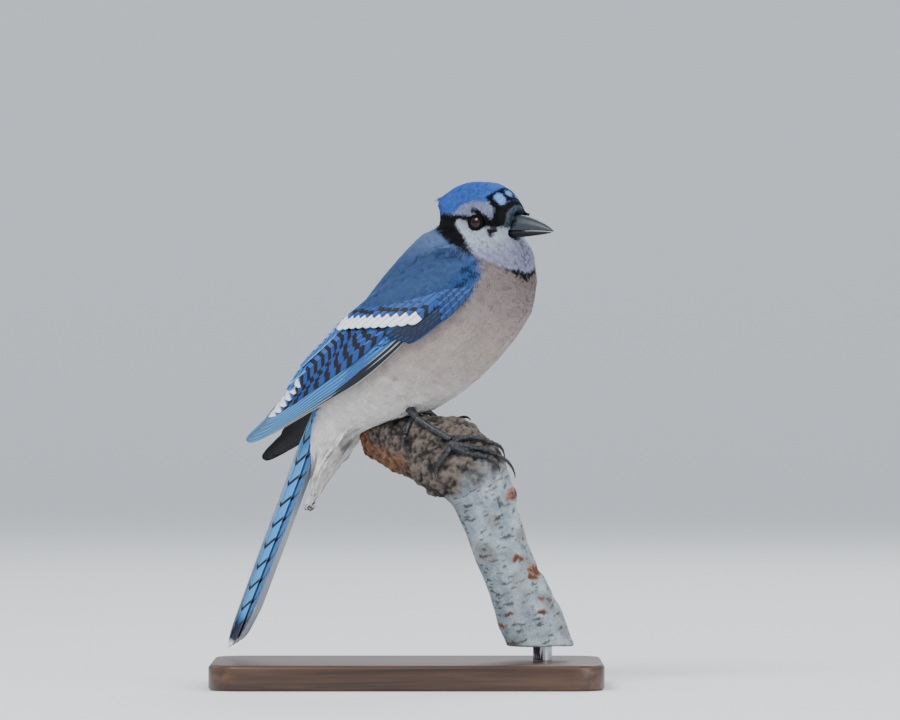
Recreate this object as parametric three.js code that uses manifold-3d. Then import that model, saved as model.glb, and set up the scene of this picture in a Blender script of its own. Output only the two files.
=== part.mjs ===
// A blue jay as a still, life-size model. It sits on a cut length of pale branch that one short rod
// holds over a flat base. Millimetres, +Z up, origin at the middle of the base's underside. The bird
// faces +X, turned a little towards -Y, and looks further round towards -Y.
import * as THREE from "three";
import { mergeVertices } from "three/addons/utils/BufferGeometryUtils.js";
import Module from "manifold-3d";

const wasm = await Module();
wasm.setup();

// Whole object
const GAP = 0.3; // between pieces that touch
const SURFACE_ERROR = 0.13; // how far thinning a surface's triangles may move it
const SPACE = 600; // a cutting box's size, larger than the whole object
const BODY_X = 10; // the bird's turning axis, ahead of the base's middle
const BODY_YAW = 15; // degrees towards -Y
const HEAD_YAW = 38; // degrees towards -Y, counted from +X as the body's is
const HEAD_PITCH = 0; // bill down

// Body. Each station: x forward, z up, half width, depth to the back, depth to the belly.
const TORSO = [
  [-55, 105, 4, 2.5, 4],
  [-53, 114, 8.5, 4.5, 8.5],
  [-49, 123.5, 13, 7.5, 14],
  [-42.5, 133, 18.5, 12.5, 20],
  [-32, 143, 24, 19, 26.5],
  [-17, 155.5, 28.5, 26.5, 33],
  [-2, 168.5, 30.5, 30.5, 35.5],
  [11, 181.5, 30.5, 31.5, 35.5],
  [21, 195, 28, 30, 34.5],
  [26.5, 207, 22, 27, 26],
  [27.5, 215.5, 14.6, 21.5, 15.5],
  [28.5, 221.5, 8, 12.5, 8],
];
const BODY_ROUND = 0.92; // under 1 squares the body's section a little
const BODY_RINGS = 18;
const BODY_SIDES = 18;
const NECK_CUT = 8.6; // station number where the neck starts

// Head, in its own frame: x forward, z up from the skull's middle
const HEAD_AT = [27.5, 0, 221.5];
const HEAD = [
  [-23.5, -0.5, 3.5, 4, 4.5],
  [-20.5, -0.5, 9, 9, 10],
  [-14.5, -0.5, 13.6, 13, 14],
  [-6.5, 0, 15.8, 15, 15.6],
  [1, 0, 16, 15.4, 15.6],
  [7, -0.5, 15.3, 15.4, 14.4],
  [12, -1.2, 13.4, 13.8, 12.2],
  [16.5, -2.6, 10.6, 11.2, 9.4],
  [20.5, -4, 6.6, 7.4, 6.2],
];
const HEAD_RINGS = 13;
const HEAD_SIDES = 18;

// Bill. Each station: x forward, z of the ridge above the mouth line, half width.
const BILL_AT = [15, 0, -8]; // back of the mouth line, in the head's frame
const BILL_DROOP = 0; // degrees down from the head's own axis
const UPPER_BILL = [
  [0, 7.4, 4.9],
  [5, 7.6, 4.8],
  [10, 7, 4.2],
  [15, 5.5, 3.3],
  [20, 3.6, 2.2],
  [24, 1.6, 1.1],
  [26, 0, 0.35],
];
const LOWER_BILL = [
  [0, 3.1, 4.4],
  [5, 2.9, 4.3],
  [10, 2.6, 3.7],
  [15, 2.1, 2.8],
  [20, 1.4, 1.8],
  [24.4, 0.5, 0.5],
];
const BILL_HOOK = 0.9; // how far the tip of the upper bill curves down
const MOUTH_GAP = 0.3;
const BILL_SUNK = 6; // how far the bill's root runs into the head
const BILL_ROUND = 0.8; // under 1 fills the bill's section out

// Eyes and lids
const EYE_AT = [4.8, 11.3, -4.2]; // in the head's frame, one each side
const EYE_RADIUS = 4.2;
const LID_RING = 3.15;
const LID_TUBE = 0.6;
const LID_ROOM = 1.6; // clear of the eyeball, for the lids

// Nasal tufts: stiff bristle feathers over the nostrils and the root of the bill
const TUFT_ROWS = 4;
const TUFT_START = 15; // x of their roots in the head's frame
const TUFT_LENGTH = 10.5;
const TUFT_REACH = [10.2, 6.2]; // distance off the bill's axis, at the root and at the tip
const TUFT_AXIS = [-5.4, -6.8]; // height of that axis in the head's frame
const TUFT_TURNS = [14, 78]; // degrees from the top to the side
const TUFT_SHAPE = [
  [0, 1.6],
  [0.35, 1.7],
  [0.7, 1.3],
  [1, 0.35],
];

// Crest feathers, in rows from the forehead back
const CREST_ROWS = [
  { x: 6, count: 4, spread: 34, length: 22, width: 3.4 },
  { x: -4, count: 4, spread: 36, length: 19, width: 3.4 },
  { x: -10.5, count: 4, spread: 30, length: 16, width: 3.2 },
  { x: -12, count: 5, spread: 76, length: 9, width: 3.2 },
];
const CREST_BEND = -16; // x behind which the crest stands clear of the skull
const CREST_CLOSE = 0.42; // how much its feathers close up towards their tips
const CREST_FALL = 0.55; // how steeply it drops there
const VANE_THICK = 0.6;

// Width of a vane along its length, as a share of its widest
const ROUND_TIP = [
  [0, 0.7],
  [0.55, 1],
  [0.86, 0.9],
  [1, 0.35],
];
const LONG_TIP = [
  [0, 0.6],
  [0.35, 0.95],
  [0.68, 1],
  [0.91, 0.8],
  [1, 0.25],
];

// Folded wing: a curved skin round the body's axis that runs on to the wing's tip.
// Each station: x, z of the axis, half width, height of the back over the axis.
const WING = [
  [29, 196, 24, 24],
  [17, 184.5, 30.5, 31],
  [3, 171, 33, 34],
  [-12, 157.5, 32, 32.5],
  [-28, 146, 28.5, 28],
  [-43, 137.5, 24, 21.5],
  [-57.5, 129.5, 19.5, 14.5],
  [-72, 121.5, 15.5, 8],
  [-85, 114.5, 12.5, 3.5],
];
const WING_LOW = [-14, -13, -5, 2, 7, 7, 4, 0, 0]; // degrees: lower edge at each station
const WING_HIGH = [28, 42, 52, 62, 76, 82, 82, 70, 40]; // upper edge
const WING_DEPTH = 3.2; // how deep the folded arm sits in the body
const WING_LIFT = 0.5; // top of the arm over the wing's skin
const CORE_END = 5.2; // station where the arm and feather roots end
const DROOP = 5.2; // degrees that the left wing hangs lower
const LEFT_BACK = 6.5; // how far the left wing is set back

// Tiers of wing feathers, in stations and degrees of that skin. Roots, turns, half widths and lifts
// run from the lowest feather of a tier to its highest, and each lift is that of the root and the tip.
const PRIMARIES = {
  count: 5,
  roots: [[2.3, -1], [2.8, 26]],
  tips: [7.58, 7.98, 7.9, 7.35, 7.2],
  turns: [3, 32],
  half: [3.4, 5],
  lifts: [[-0.6, 0], [0.3, 1.5]],
  shape: LONG_TIP,
};
const SECONDARIES = {
  count: 6,
  roots: [[2.6, 14], [2.9, 52]],
  tips: [5.1, 5.62, 6.13, 6.65, 6.65],
  turns: [22, 76],
  half: [4, 5.6],
  lifts: [[0.4, 1.4], [0.6, 2.6]],
  shape: LONG_TIP,
};
const PRIMARY_COVERTS = {
  count: 3,
  roots: [[1, -10], [1.1, 0]],
  tips: [2.9, 2.7],
  turns: [-1, 9],
  half: [3.2, 3.2],
  lifts: [[0, 0.5], [0.3, 1.2]],
  shape: ROUND_TIP,
};
const GREATER_COVERTS = {
  count: 5,
  roots: [[0.75, 6], [1.7, 48]],
  tips: [1.95, 3.35],
  turns: [6, 62],
  half: [4.3, 4.3],
  lifts: [[0.1, 2.2], [0.4, 3.1]],
  shape: ROUND_TIP,
};
const MEDIAN_COVERTS = {
  count: 4,
  roots: [[0.35, 4], [1, 38]],
  tips: [1.25, 2.3],
  turns: [5, 50],
  half: [4.8, 4.8],
  lifts: [[0, 2.6], [0.2, 3.2]],
  shape: ROUND_TIP,
};
const ALULA = {
  count: 2,
  roots: [[0.8, -13], [0.8, -8]],
  tips: [2.05, 1.7],
  turns: [-8, -2],
  half: [2.6, 2.6],
  lifts: [[0, 1.1], [0, 1.4]],
  shape: ROUND_TIP,
};
const WING_TIERS = [PRIMARIES, SECONDARIES, PRIMARY_COVERTS, GREATER_COVERTS, MEDIAN_COVERTS, ALULA];

// Tail
const TAIL_AT = [-52.8, 0, 136.5];
const TAIL_DIP = 69.2; // degrees below level
const TAIL_LENGTH = 127;
const TAIL_PAIRS = 6;
const TAIL_WIDTH = 5.7; // half width of one feather
const TAIL_ROOF = [60, 30]; // degrees that the outer feathers fold down, at the root and at the tip
const TAIL_CENTRE = 6; // degrees that the middle pair folds down
const TAIL_STEP = 0.42; // how far each pair lies under the one before
const TAIL_SPREAD = [2.4, 2.7]; // from the middle line to the middle pair's shafts, at root and tip
const TAIL_FAN = [1.5, 1.8]; // how much further out the outer pair's shafts are
const TAIL_SHORTER = 13; // how much shorter the outer pair is
const TAIL_ROOT = [15, 7, 4.4]; // half sizes of the solid root of the tail

// Undertail coverts in rows: station on the torso, spread to the sides, and degrees above level
const UNDERTAIL = [
  { u: 1, count: 3, spread: 5, length: 32, way: -70, half: 4.6 },
  { u: 2.1, count: 3, spread: 8, length: 35, way: -63, half: 5 },
  { u: 3, count: 3, spread: 10, length: 34, way: -52, half: 5.6 },
];
const UNDERTAIL_THICK = 0.9;

// Perch: a bent, broken length of branch. Each station: x, y, z, radius.
const PERCH = [
  [66.5, -1, 10, 15.2],
  [60.2, -2, 26.3, 15],
  [54.8, -4, 38.5, 14.4],
  [44.8, -7, 63, 13],
  [37, -10, 84, 13.4],
  [30, -11.5, 98, 15.6],
  [20, -8, 107, 16.2],
  [6, 0, 112.5, 15],
  [-6, 9, 115.5, 13.4],
  [-15, 17, 117.5, 10.5],
];
const PERCH_CUT = 19; // level of the sawn lower end
const PERCH_RINGS = 30;
const PERCH_SIDES = 18;

// Stand
const BASE_LENGTH = 184;
const BASE_WIDTH = 104;
const BASE_HEIGHT = 12;
const BASE_CORNER = 14;
const BASE_BEVEL = 1.2;
const ROD_RADIUS = 4.5;

// Feet. Each toe: places on the perch as station and degrees round it, then the claw's places and lifts.
const TARSUS_RADIUS = 1.6;
const ANKLE_EXTRA = 0.9;
const TOE_RADIUS = [1.6, 1.2];
const KNUCKLE = 0.16;
const CLAW_RADIUS = 1.05;
const LEGS = {
  right: [
    [1, -9, 131],
    [5, -16, 125.8],
    [12.5, -20.2, 120.8],
    [20.8, -22.8, 116.2],
  ],
  left: [
    [-4, 15, 141],
    [0, 14, 135],
    [4.5, 11.5, 127.5],
  ],
};
const TOES = {
  right: [
    {
      way: [[5.82, 22], [5.5, 32], [5.32, 46], [5.2, 59], [5.08, 69]],
      claw: [[4.88, 77, 2.6], [4.62, 82, 2.9], [4.42, 82, 1.9]],
    },
    {
      way: [[5.85, 26], [5.66, 46], [5.46, 62], [5.3, 75]],
      claw: [[5.18, 82, 1.9], [5.04, 87, 1.4], [4.91, 89, 0.8]],
    },
    {
      way: [[5.8, 17], [5.46, 22], [5.25, 35], [5.12, 46]],
      claw: [[4.99, 52, 1.9], [4.85, 55, 1.5], [4.75, 55, 0.8]],
    },
    {
      way: [[5.84, 24], [5.76, 2], [5.8, -20]],
      claw: [[5.74, -31, 1.9], [5.5, -40, 1.6], [5.22, -43, 0.9]],
    },
  ],
  left: [
    {
      way: [[6.95, 128], [6.6, 130], [6.25, 132], [5.95, 134]],
      claw: [[5.8, 135, 1.9], [5.66, 136, 1.5], [5.54, 137, 0.8]],
    },
    {
      way: [[6.95, 124], [6.7, 116], [6.45, 109]],
      claw: [[6.3, 106, 1.9], [6.17, 103, 1.5], [6.08, 101, 0.8]],
    },
    {
      way: [[6.95, 132], [6.75, 145], [6.55, 157]],
      claw: [[6.45, 164, 1.9], [6.37, 170, 1.5], [6.3, 175, 0.8]],
    },
    {
      way: [[7, 124], [7.12, 96], [7.14, 64], [7.06, 32], [6.98, 12]],
      claw: [[6.96, 2, 1.9], [6.88, -10, 1.5], [6.72, -18, 0.8]],
    },
  ],
};

const at = (x, y, z) => new THREE.Vector3(x, y, z);
const rad = THREE.MathUtils.degToRad;
const mix = THREE.MathUtils.lerp;

// A table's row at a fractional row number, on a smooth curve through its rows.
function along(table, u) {
  const last = table.length - 1;
  const i = Math.min(Math.floor(Math.max(u, 0)), last - 1);
  const t = Math.min(Math.max(u, 0), last) - i;
  const row = (k) => table[Math.min(Math.max(k, 0), last)];
  return table[0].map((_, c) => {
    const [a, b, d, e] = [row(i - 1)[c], row(i)[c], row(i + 1)[c], row(i + 2)[c]];
    const [m, n] = [(d - a) / 2, (e - b) / 2];
    const [t2, t3] = [t * t, t * t * t];
    return (2 * t3 - 3 * t2 + 1) * b + (t3 - 2 * t2 + t) * m + (3 * t2 - 2 * t3) * d + (t3 - t2) * n;
  });
}

// One value of a list at a fractional place, on straight lines.
function between(list, u) {
  const i = Math.min(Math.max(Math.floor(u), 0), list.length - 2);
  return mix(list[i], list[i + 1], Math.min(Math.max(u - i, 0), 1));
}

// A closed surface through rings that all have the same number of points, with a flat or pointed end.
function skinOf(rings) {
  const sides = rings[0].length;
  const middle = (ring) => ring.reduce((sum, p) => sum.add(p), at(0, 0, 0)).divideScalar(sides);
  const points = [...rings.flat(), middle(rings[0]), middle(rings.at(-1))];
  const faces = [];
  const base = (rings.length - 1) * sides;
  for (let r = 0; r + 1 < rings.length; r++)
    for (let k = 0; k < sides; k++) {
      const [a, b] = [r * sides + k, r * sides + ((k + 1) % sides)];
      faces.push(a, b, a + sides, b, b + sides, a + sides);
    }
  const [first, end] = [points.length - 2, points.length - 1];
  if (sides === 4) faces.push(0, 2, 1, 0, 3, 2, base, base + 1, base + 2, base, base + 2, base + 3);
  else
    for (let k = 0; k < sides; k++)
      faces.push(first, (k + 1) % sides, k, end, base + k, base + ((k + 1) % sides));
  return new THREE.BufferGeometry().setFromPoints(points).setIndex(faces);
}

// A three.js geometry as a manifold solid, turned right side out.
function solid(geometry) {
  const bare = geometry.index ? geometry.toNonIndexed() : geometry.clone();
  for (const name of Object.keys(bare.attributes)) if (name !== "position") bare.deleteAttribute(name);
  const merged = mergeVertices(bare, 1e-4);
  const triVerts = new Uint32Array(merged.index.array);
  const vertProperties = merged.attributes.position.array;
  const make = () => new wasm.Manifold(new wasm.Mesh({ numProp: 3, vertProperties, triVerts }));
  const made = make();
  if (made.volume() > 0) return made;
  for (let i = 0; i < triVerts.length; i += 3) triVerts.subarray(i, i + 3).reverse();
  return make();
}

const joined = (pieces) => pieces.reduce((sum, piece) => sum.add(piece));

function largest(made) {
  return made.decompose().reduce((a, b) => (a.volume() > b.volume() ? a : b));
}

function placed(geometry, matrix) {
  return geometry.clone().applyMatrix4(matrix);
}

// The bird's own frame: x forward, y left, z up, turned about BODY_X.
const birdFrame = new THREE.Matrix4()
  .makeTranslation(BODY_X, 0, 0)
  .multiply(new THREE.Matrix4().makeRotationZ(rad(-BODY_YAW)));
const headFrame = new THREE.Matrix4()
  .makeTranslation(...HEAD_AT)
  .multiply(new THREE.Matrix4().makeRotationZ(rad(BODY_YAW - HEAD_YAW)))
  .multiply(new THREE.Matrix4().makeRotationY(rad(HEAD_PITCH)));

// Middle of a section, the way along the body and the way to its back, for a table of x and z.
function sectionOf(table, u) {
  const [x, z] = along(table, u);
  const [x0, z0] = along(table, u - 0.02);
  const [x1, z1] = along(table, u + 0.02);
  const way = at(x1 - x0, 0, z1 - z0).normalize();
  return { middle: at(x, 0, z), way, back: at(-Math.abs(way.z), 0, Math.abs(way.x)) };
}

const power = (value, p) => Math.sign(value) * Math.abs(value) ** p;

// Torso and neck in one piece, grown by some millimetres.
function bodySolid(grow) {
  const rings = [];
  for (let r = 0; r <= BODY_RINGS; r++) {
    const u = (r / BODY_RINGS) * (TORSO.length - 1);
    const { middle, way, back } = sectionOf(TORSO, u);
    const [, , width, up, down] = along(TORSO, u);
    if (grow && r === 0) middle.addScaledVector(way, -grow);
    rings.push(
      Array.from({ length: BODY_SIDES }, (_, k) => {
        const a = (k / BODY_SIDES) * 2 * Math.PI;
        const [c, s] = [power(Math.cos(a), BODY_ROUND), power(Math.sin(a), BODY_ROUND)];
        const point = middle.clone().addScaledVector(back, s * ((s > 0 ? up : down) + grow));
        return point.add(at(0, c * (width + grow), 0));
      }),
    );
  }
  return solid(skinOf(rings));
}

// Rings across the head's axis, grown by some millimetres.
function headSolid(grow) {
  const rings = [];
  for (let r = 0; r <= HEAD_RINGS; r++) {
    const u = (r / HEAD_RINGS) * (HEAD.length - 1);
    const [x, z, width, up, down] = along(HEAD, u);
    const end = r === 0 ? -grow : r === HEAD_RINGS ? grow : 0;
    rings.push(
      Array.from({ length: HEAD_SIDES }, (_, k) => {
        const a = (k / HEAD_SIDES) * 2 * Math.PI;
        const [c, s] = [Math.cos(a), Math.sin(a)];
        return at(x + end, c * (width + grow), z + s * ((s > 0 ? up : down) + grow));
      }),
    );
  }
  return solid(placed(skinOf(rings), headFrame));
}

// One half of the bill: side 1 is the upper half, -1 the lower.
const billFrame = headFrame
  .clone()
  .multiply(new THREE.Matrix4().makeTranslation(...BILL_AT))
  .multiply(new THREE.Matrix4().makeRotationY(rad(BILL_DROOP)));
function billHalf(table, side, grow) {
  const rings = [];
  const steps = 9;
  const arc = 8;
  for (let r = 0; r <= steps; r++) {
    const u = (r / steps) * (table.length - 1);
    const [x, height, width] = along(table, u);
    const hook = -BILL_HOOK * (x / UPPER_BILL.at(-1)[0]) ** 4;
    const end = r === 0 ? -BILL_SUNK - grow : x + (r === steps ? grow : 0);
    const ring = [];
    for (let k = 0; k <= arc; k++) {
      const a = (k / arc) * Math.PI;
      const rise = MOUTH_GAP / 2 - grow + Math.sin(a) ** BILL_ROUND * (height + 2 * grow);
      ring.push(at(end, Math.cos(a) * (width + grow), hook + side * rise));
    }
    rings.push(ring);
  }
  return solid(placed(skinOf(rings), billFrame));
}

// A feather's flat vane along frames {point, out, half width}: out is the way off the surface.
function vane(frames, thick = VANE_THICK, grow = 0) {
  const rings = frames.map(({ point, out, half }, i) => {
    const before = frames[Math.max(i - 1, 0)].point;
    const after = frames[Math.min(i + 1, frames.length - 1)].point;
    const run = after.clone().sub(before).normalize();
    const side = run.clone().cross(out).normalize().multiplyScalar(half + grow);
    const rise = out.clone().multiplyScalar(thick + 2 * grow);
    const end = i === 0 ? -grow : i === frames.length - 1 ? grow : 0;
    const middle = point.clone().addScaledVector(out, -grow).addScaledVector(run, end);
    const [left, right] = [middle.clone().add(side), middle.clone().sub(side)];
    return [left, right, right.clone().add(rise), left.clone().add(rise)];
  });
  return solid(skinOf(rings));
}

// A point off the folded wing's skin: u along it in stations, angle round it from the side to the back.
function wingSpot(u, degrees, lift) {
  const { middle, back } = sectionOf(WING, u);
  const [, , width, high] = along(WING, u);
  const a = rad(degrees);
  const point = middle.clone().addScaledVector(back, high * Math.sin(a));
  point.y -= width * Math.cos(a);
  const out = at(0, -Math.cos(a) / width, 0).addScaledVector(back, Math.sin(a) / high).normalize();
  return { point: point.addScaledVector(out, lift), out };
}

function wingVane({ from, to, half, lift, tip }) {
  return vane(
    tip.map(([t, share]) => ({
      ...wingSpot(mix(from[0], to[0], t), mix(from[1], to[1], t), mix(lift[0], lift[1], t)),
      half: half * share,
    })),
  );
}

// A slab that follows the wing's skin from one lift to another, and tapers away towards its rear end.
function wingSlab({ start, end, inner, outer, margin, taper }) {
  const steps = 8;
  const across = 6;
  const rings = [];
  for (let r = 0; r <= steps; r++) {
    const u = mix(start, end, r / steps);
    const thin = taper ? Math.min(1, ((end - u) / (end - start)) * 1.6 + 0.12) : 1;
    const [low, high] = [between(WING_LOW, u) - margin, between(WING_HIGH, u) + margin];
    const spot = (k, lift) => wingSpot(u, mix(low, high, k / across), lift).point;
    const top = Array.from({ length: across + 1 }, (_, k) => spot(k, outer));
    const under = Array.from({ length: across + 1 }, (_, k) => spot(across - k, mix(outer, inner, thin)));
    rings.push([...top, ...under]);
  }
  return solid(skinOf(rings));
}

// The feathers of one folded wing, from the lowest tier up.
function wingFeathers() {
  return WING_TIERS.flatMap(({ count, roots, tips, turns, half, lifts, shape }) =>
    Array.from({ length: count }, (_, i) => {
      const t = i / (count - 1);
      const [root, end] = [0, 1].map((k) => mix(lifts[0][k], lifts[1][k], t));
      return {
        from: [mix(roots[0][0], roots[1][0], t), mix(roots[0][1], roots[1][1], t)],
        to: [between(tips, t * (tips.length - 1)), mix(...turns, t)],
        half: mix(...half, t),
        lift: [root, end],
        tip: shape,
      };
    }),
  );
}

const ARM = { start: 0.12, end: CORE_END, inner: -WING_DEPTH, outer: WING_LIFT, margin: 0, taper: true };
const POCKET = { start: 0.02, end: 8, inner: -WING_DEPTH - GAP, outer: 12, margin: 2.2, taper: false };
const POCKET_LINING = { start: 0.06, end: 7.96, inner: -WING_DEPTH, outer: 13, margin: 1.5, taper: false };
const WING_SPACE = { start: 2.5, end: 8, inner: -2.2, outer: 12, margin: 10, taper: false };
const mirrored = new THREE.Matrix4().makeScale(1, -1, 1);
const shoulder = wingSpot(1, 0, 0).point;
const drooped = new THREE.Matrix4()
  .makeTranslation(shoulder.x - LEFT_BACK, 0, shoulder.z)
  .multiply(new THREE.Matrix4().makeRotationY(rad(-DROOP)))
  .multiply(new THREE.Matrix4().makeTranslation(-shoulder.x, 0, -shoulder.z));
const matrixList = (matrix) => [...matrix.elements];

function rightWing() {
  return joined([wingSlab(ARM), ...wingFeathers().map(wingVane)]);
}

function leftOf(made) {
  return made.transform(matrixList(mirrored)).transform(matrixList(drooped));
}

// Everything on one side of the bird's middle plane, as a box with a small gap.
function sideBox(side) {
  const box = new THREE.BoxGeometry(SPACE, SPACE, SPACE);
  return solid(box.translate(0, (side * (SPACE + GAP)) / 2, 0));
}

// Tail feathers: the middle pair lie on top, the outer pairs fold down under them like a roof.
function tailSolid(grow) {
  const pieces = [];
  const dip = rad(TAIL_DIP);
  const way = at(-Math.cos(dip), 0, -Math.sin(dip));
  const top = at(-Math.sin(dip), 0, Math.cos(dip));
  const root = at(...TAIL_AT);
  for (let i = TAIL_PAIRS - 1; i >= 0; i--)
    for (const side of [-1, 1]) {
      const t = i / (TAIL_PAIRS - 1);
      const length = TAIL_LENGTH - TAIL_SHORTER * t ** 1.5;
      const frames = LONG_TIP.map(([s, share]) => {
        const tilt = rad(mix(TAIL_CENTRE, mix(...TAIL_ROOF, s), t));
        const across = at(0, side * Math.cos(tilt), 0).addScaledVector(top, -Math.sin(tilt));
        const out = at(0, side * Math.sin(tilt), 0).addScaledVector(top, Math.cos(tilt));
        const point = root
          .clone()
          .addScaledVector(way, s * length)
          .addScaledVector(across, mix(...TAIL_SPREAD, s) + mix(...TAIL_FAN, s) * t)
          .addScaledVector(out, -TAIL_STEP * (i - (side > 0 ? 0.6 : 0)));
        return { point, out, half: TAIL_WIDTH * share * mix(1, 0.84, t) };
      });
      pieces.push(vane(frames, VANE_THICK, grow));
    }
  const block = new THREE.SphereGeometry(1, 12, 7).scale(...TAIL_ROOT.map((size) => size + grow));
  pieces.push(solid(block.rotateY(Math.PI - dip).translate(root.x - 4, 0, root.z - 8)));
  return joined(pieces);
}

// Undertail coverts: soft white feathers that hang from the vent along the tail's underside.
function undertailVanes() {
  const pieces = [];
  for (const { u, count, spread, length, way, half } of UNDERTAIL) {
    const { middle, back } = sectionOf(TORSO, u);
    const [, , , , down] = along(TORSO, u);
    const dip = rad(way);
    for (let i = 0; i < count; i++) {
      const t = (2 * i) / (count - 1) - 1;
      const root = middle.clone().addScaledVector(back, -(down - 3) * (1 - 0.25 * t * t));
      root.y += t * spread;
      const run = at(-Math.cos(dip), 0, Math.sin(dip));
      const out = at(Math.sin(dip), 0, Math.cos(dip)).applyAxisAngle(run, 0.35 * t);
      const frames = ROUND_TIP.map(([s, share]) => {
        const point = root.clone().addScaledVector(run, s * length * (1 - 0.15 * t * t));
        point.y -= t * 3 * s;
        return { point, out, half: half * share };
      });
      pieces.push(vane(frames, UNDERTAIL_THICK));
    }
  }
  return pieces;
}

// Crest feathers lie back along the crown, and the last row stands clear of the nape in a low point.
function crestVanes() {
  const pieces = [];
  for (const { x, count, spread, length, width } of CREST_ROWS)
    for (let i = 0; i < count; i++) {
      const t = (2 * i) / (count - 1) - 1;
      const angle = rad(spread) * t;
      const frames = ROUND_TIP.map(([s, share]) => {
        const back = x - s * length;
        const [, z, wide, up] = along(HEAD, headStation(Math.max(back, CREST_BEND)));
        const fall = CREST_FALL * Math.max(CREST_BEND - back, 0);
        const narrow = angle * (1 - CREST_CLOSE * s);
        const lift = -0.4 + 1.1 * s;
        const point = at(back, Math.sin(narrow) * (wide + lift), z + Math.cos(narrow) * (up + lift) - fall);
        const out = at(-0.25 * s, Math.sin(narrow), Math.cos(narrow)).transformDirection(headFrame);
        return { point: point.applyMatrix4(headFrame), out, half: width * share };
      });
      pieces.push(vane(frames));
    }
  return pieces;
}

// The head table's row number at a given x.
function headStation(x) {
  let [low, high] = [0, HEAD.length - 1];
  for (let i = 0; i < 30; i++) {
    const middle = (low + high) / 2;
    if (along(HEAD, middle)[0] < x) low = middle;
    else high = middle;
  }
  return low;
}

// Bristle feathers that point forward over the nostrils on both sides of the bill's ridge.
function nasalTufts() {
  const pieces = [];
  for (const side of [-1, 1])
    for (let i = 0; i < TUFT_ROWS; i++) {
      const t = i / (TUFT_ROWS - 1);
      const angle = rad(mix(...TUFT_TURNS, t));
      const frames = TUFT_SHAPE.map(([s, half]) => {
        const x = TUFT_START + TUFT_LENGTH * s * (1 - 0.2 * t);
        const reach = mix(...TUFT_REACH, s ** 0.8);
        const y = side * Math.sin(angle) * reach * 0.95;
        const point = at(x, y, mix(...TUFT_AXIS, s) + Math.cos(angle) * reach * 1.05);
        const out = at(0.3, side * Math.sin(angle), Math.cos(angle)).transformDirection(headFrame);
        return { point: point.applyMatrix4(headFrame), out, half };
      });
      pieces.push(vane(frames));
    }
  return pieces;
}

function eyeball(side, grow) {
  const ball = new THREE.SphereGeometry(EYE_RADIUS + grow, 12, 8);
  return solid(placed(ball.translate(EYE_AT[0], side * EYE_AT[1], EYE_AT[2]), headFrame));
}

// A ring of lid round the eye, wider than it is high.
function lid(side) {
  const reach = Math.sqrt(EYE_RADIUS ** 2 - LID_RING ** 2);
  const ring = new THREE.TorusGeometry(LID_RING, LID_TUBE, 5, 12).scale(1.08, 0.94, 1).rotateX(Math.PI / 2);
  ring.translate(0, side * (reach + 0.25), 0).rotateZ(side * -0.12);
  return solid(placed(ring.translate(EYE_AT[0], side * EYE_AT[1], EYE_AT[2]), headFrame));
}

// Perch: rings across its path. Angle 0 faces -Y and 90 is the outer side of the bend and the top.
const LUMPS = [
  { u: 5.1, degrees: 100, rise: 3.4, wide: 26, long: 0.45 },
  { u: 6.2, degrees: 92, rise: 4, wide: 30, long: 0.5 },
  { u: 4.35, degrees: 92, rise: 3, wide: 17, long: 0.3 },
  { u: 5.9, degrees: -78, rise: 3.2, wide: 30, long: 0.7 },
  { u: 6.6, degrees: -50, rise: 1.6, wide: 24, long: 0.4 },
  { u: 2.3, degrees: 60, rise: 1.5, wide: 22, long: 0.2 },
  { u: 5.2, degrees: -20, rise: -2.2, wide: 16, long: 0.3 },
  { u: 7.6, degrees: 200, rise: 2, wide: 40, long: 0.6 },
  { u: 5.4, degrees: 190, rise: 2.4, wide: 40, long: 0.6 },
];
function perchRadius(u, degrees) {
  const radius = along(PERCH, u)[3];
  const waves = 0.35 * Math.sin(3.1 * u + rad(2 * degrees)) + 0.3 * Math.sin(5.3 * u - rad(3 * degrees));
  const rough = u > 4.7 ? 0.45 * Math.sin(11 * u + rad(5 * degrees)) : 0;
  const lumps = LUMPS.reduce((sum, lump) => {
    const turn = ((degrees - lump.degrees + 540) % 360) - 180;
    return sum + lump.rise * Math.exp(-((turn / lump.wide) ** 2) - ((u - lump.u) / lump.long) ** 2);
  }, 0);
  return radius + waves + rough + lumps;
}

function perchSpot(u, degrees, lift) {
  const [x, y, z] = along(PERCH, u);
  const way = at(...along(PERCH, u + 0.02)).sub(at(...along(PERCH, u - 0.02))).normalize();
  const near = at(0, -1, 0).addScaledVector(way, way.y).normalize();
  const top = way.clone().cross(near);
  const a = rad(degrees);
  const out = near.multiplyScalar(Math.cos(a)).addScaledVector(top, Math.sin(a));
  return { point: at(x, y, z).addScaledVector(out, perchRadius(u, degrees) + lift), out };
}

function perchSolid(grow) {
  const rings = [];
  for (let r = 0; r <= PERCH_RINGS; r++) {
    const u = (r / PERCH_RINGS) * (PERCH.length - 1);
    const turns = Array.from({ length: PERCH_SIDES }, (_, k) => (k / PERCH_SIDES) * 360);
    rings.push(turns.map((degrees) => perchSpot(u, degrees, grow).point));
  }
  const box = new THREE.BoxGeometry(SPACE, SPACE, SPACE).translate(0, 0, SPACE / 2 + PERCH_CUT - grow);
  return solid(skinOf(rings)).intersect(solid(box));
}

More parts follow.
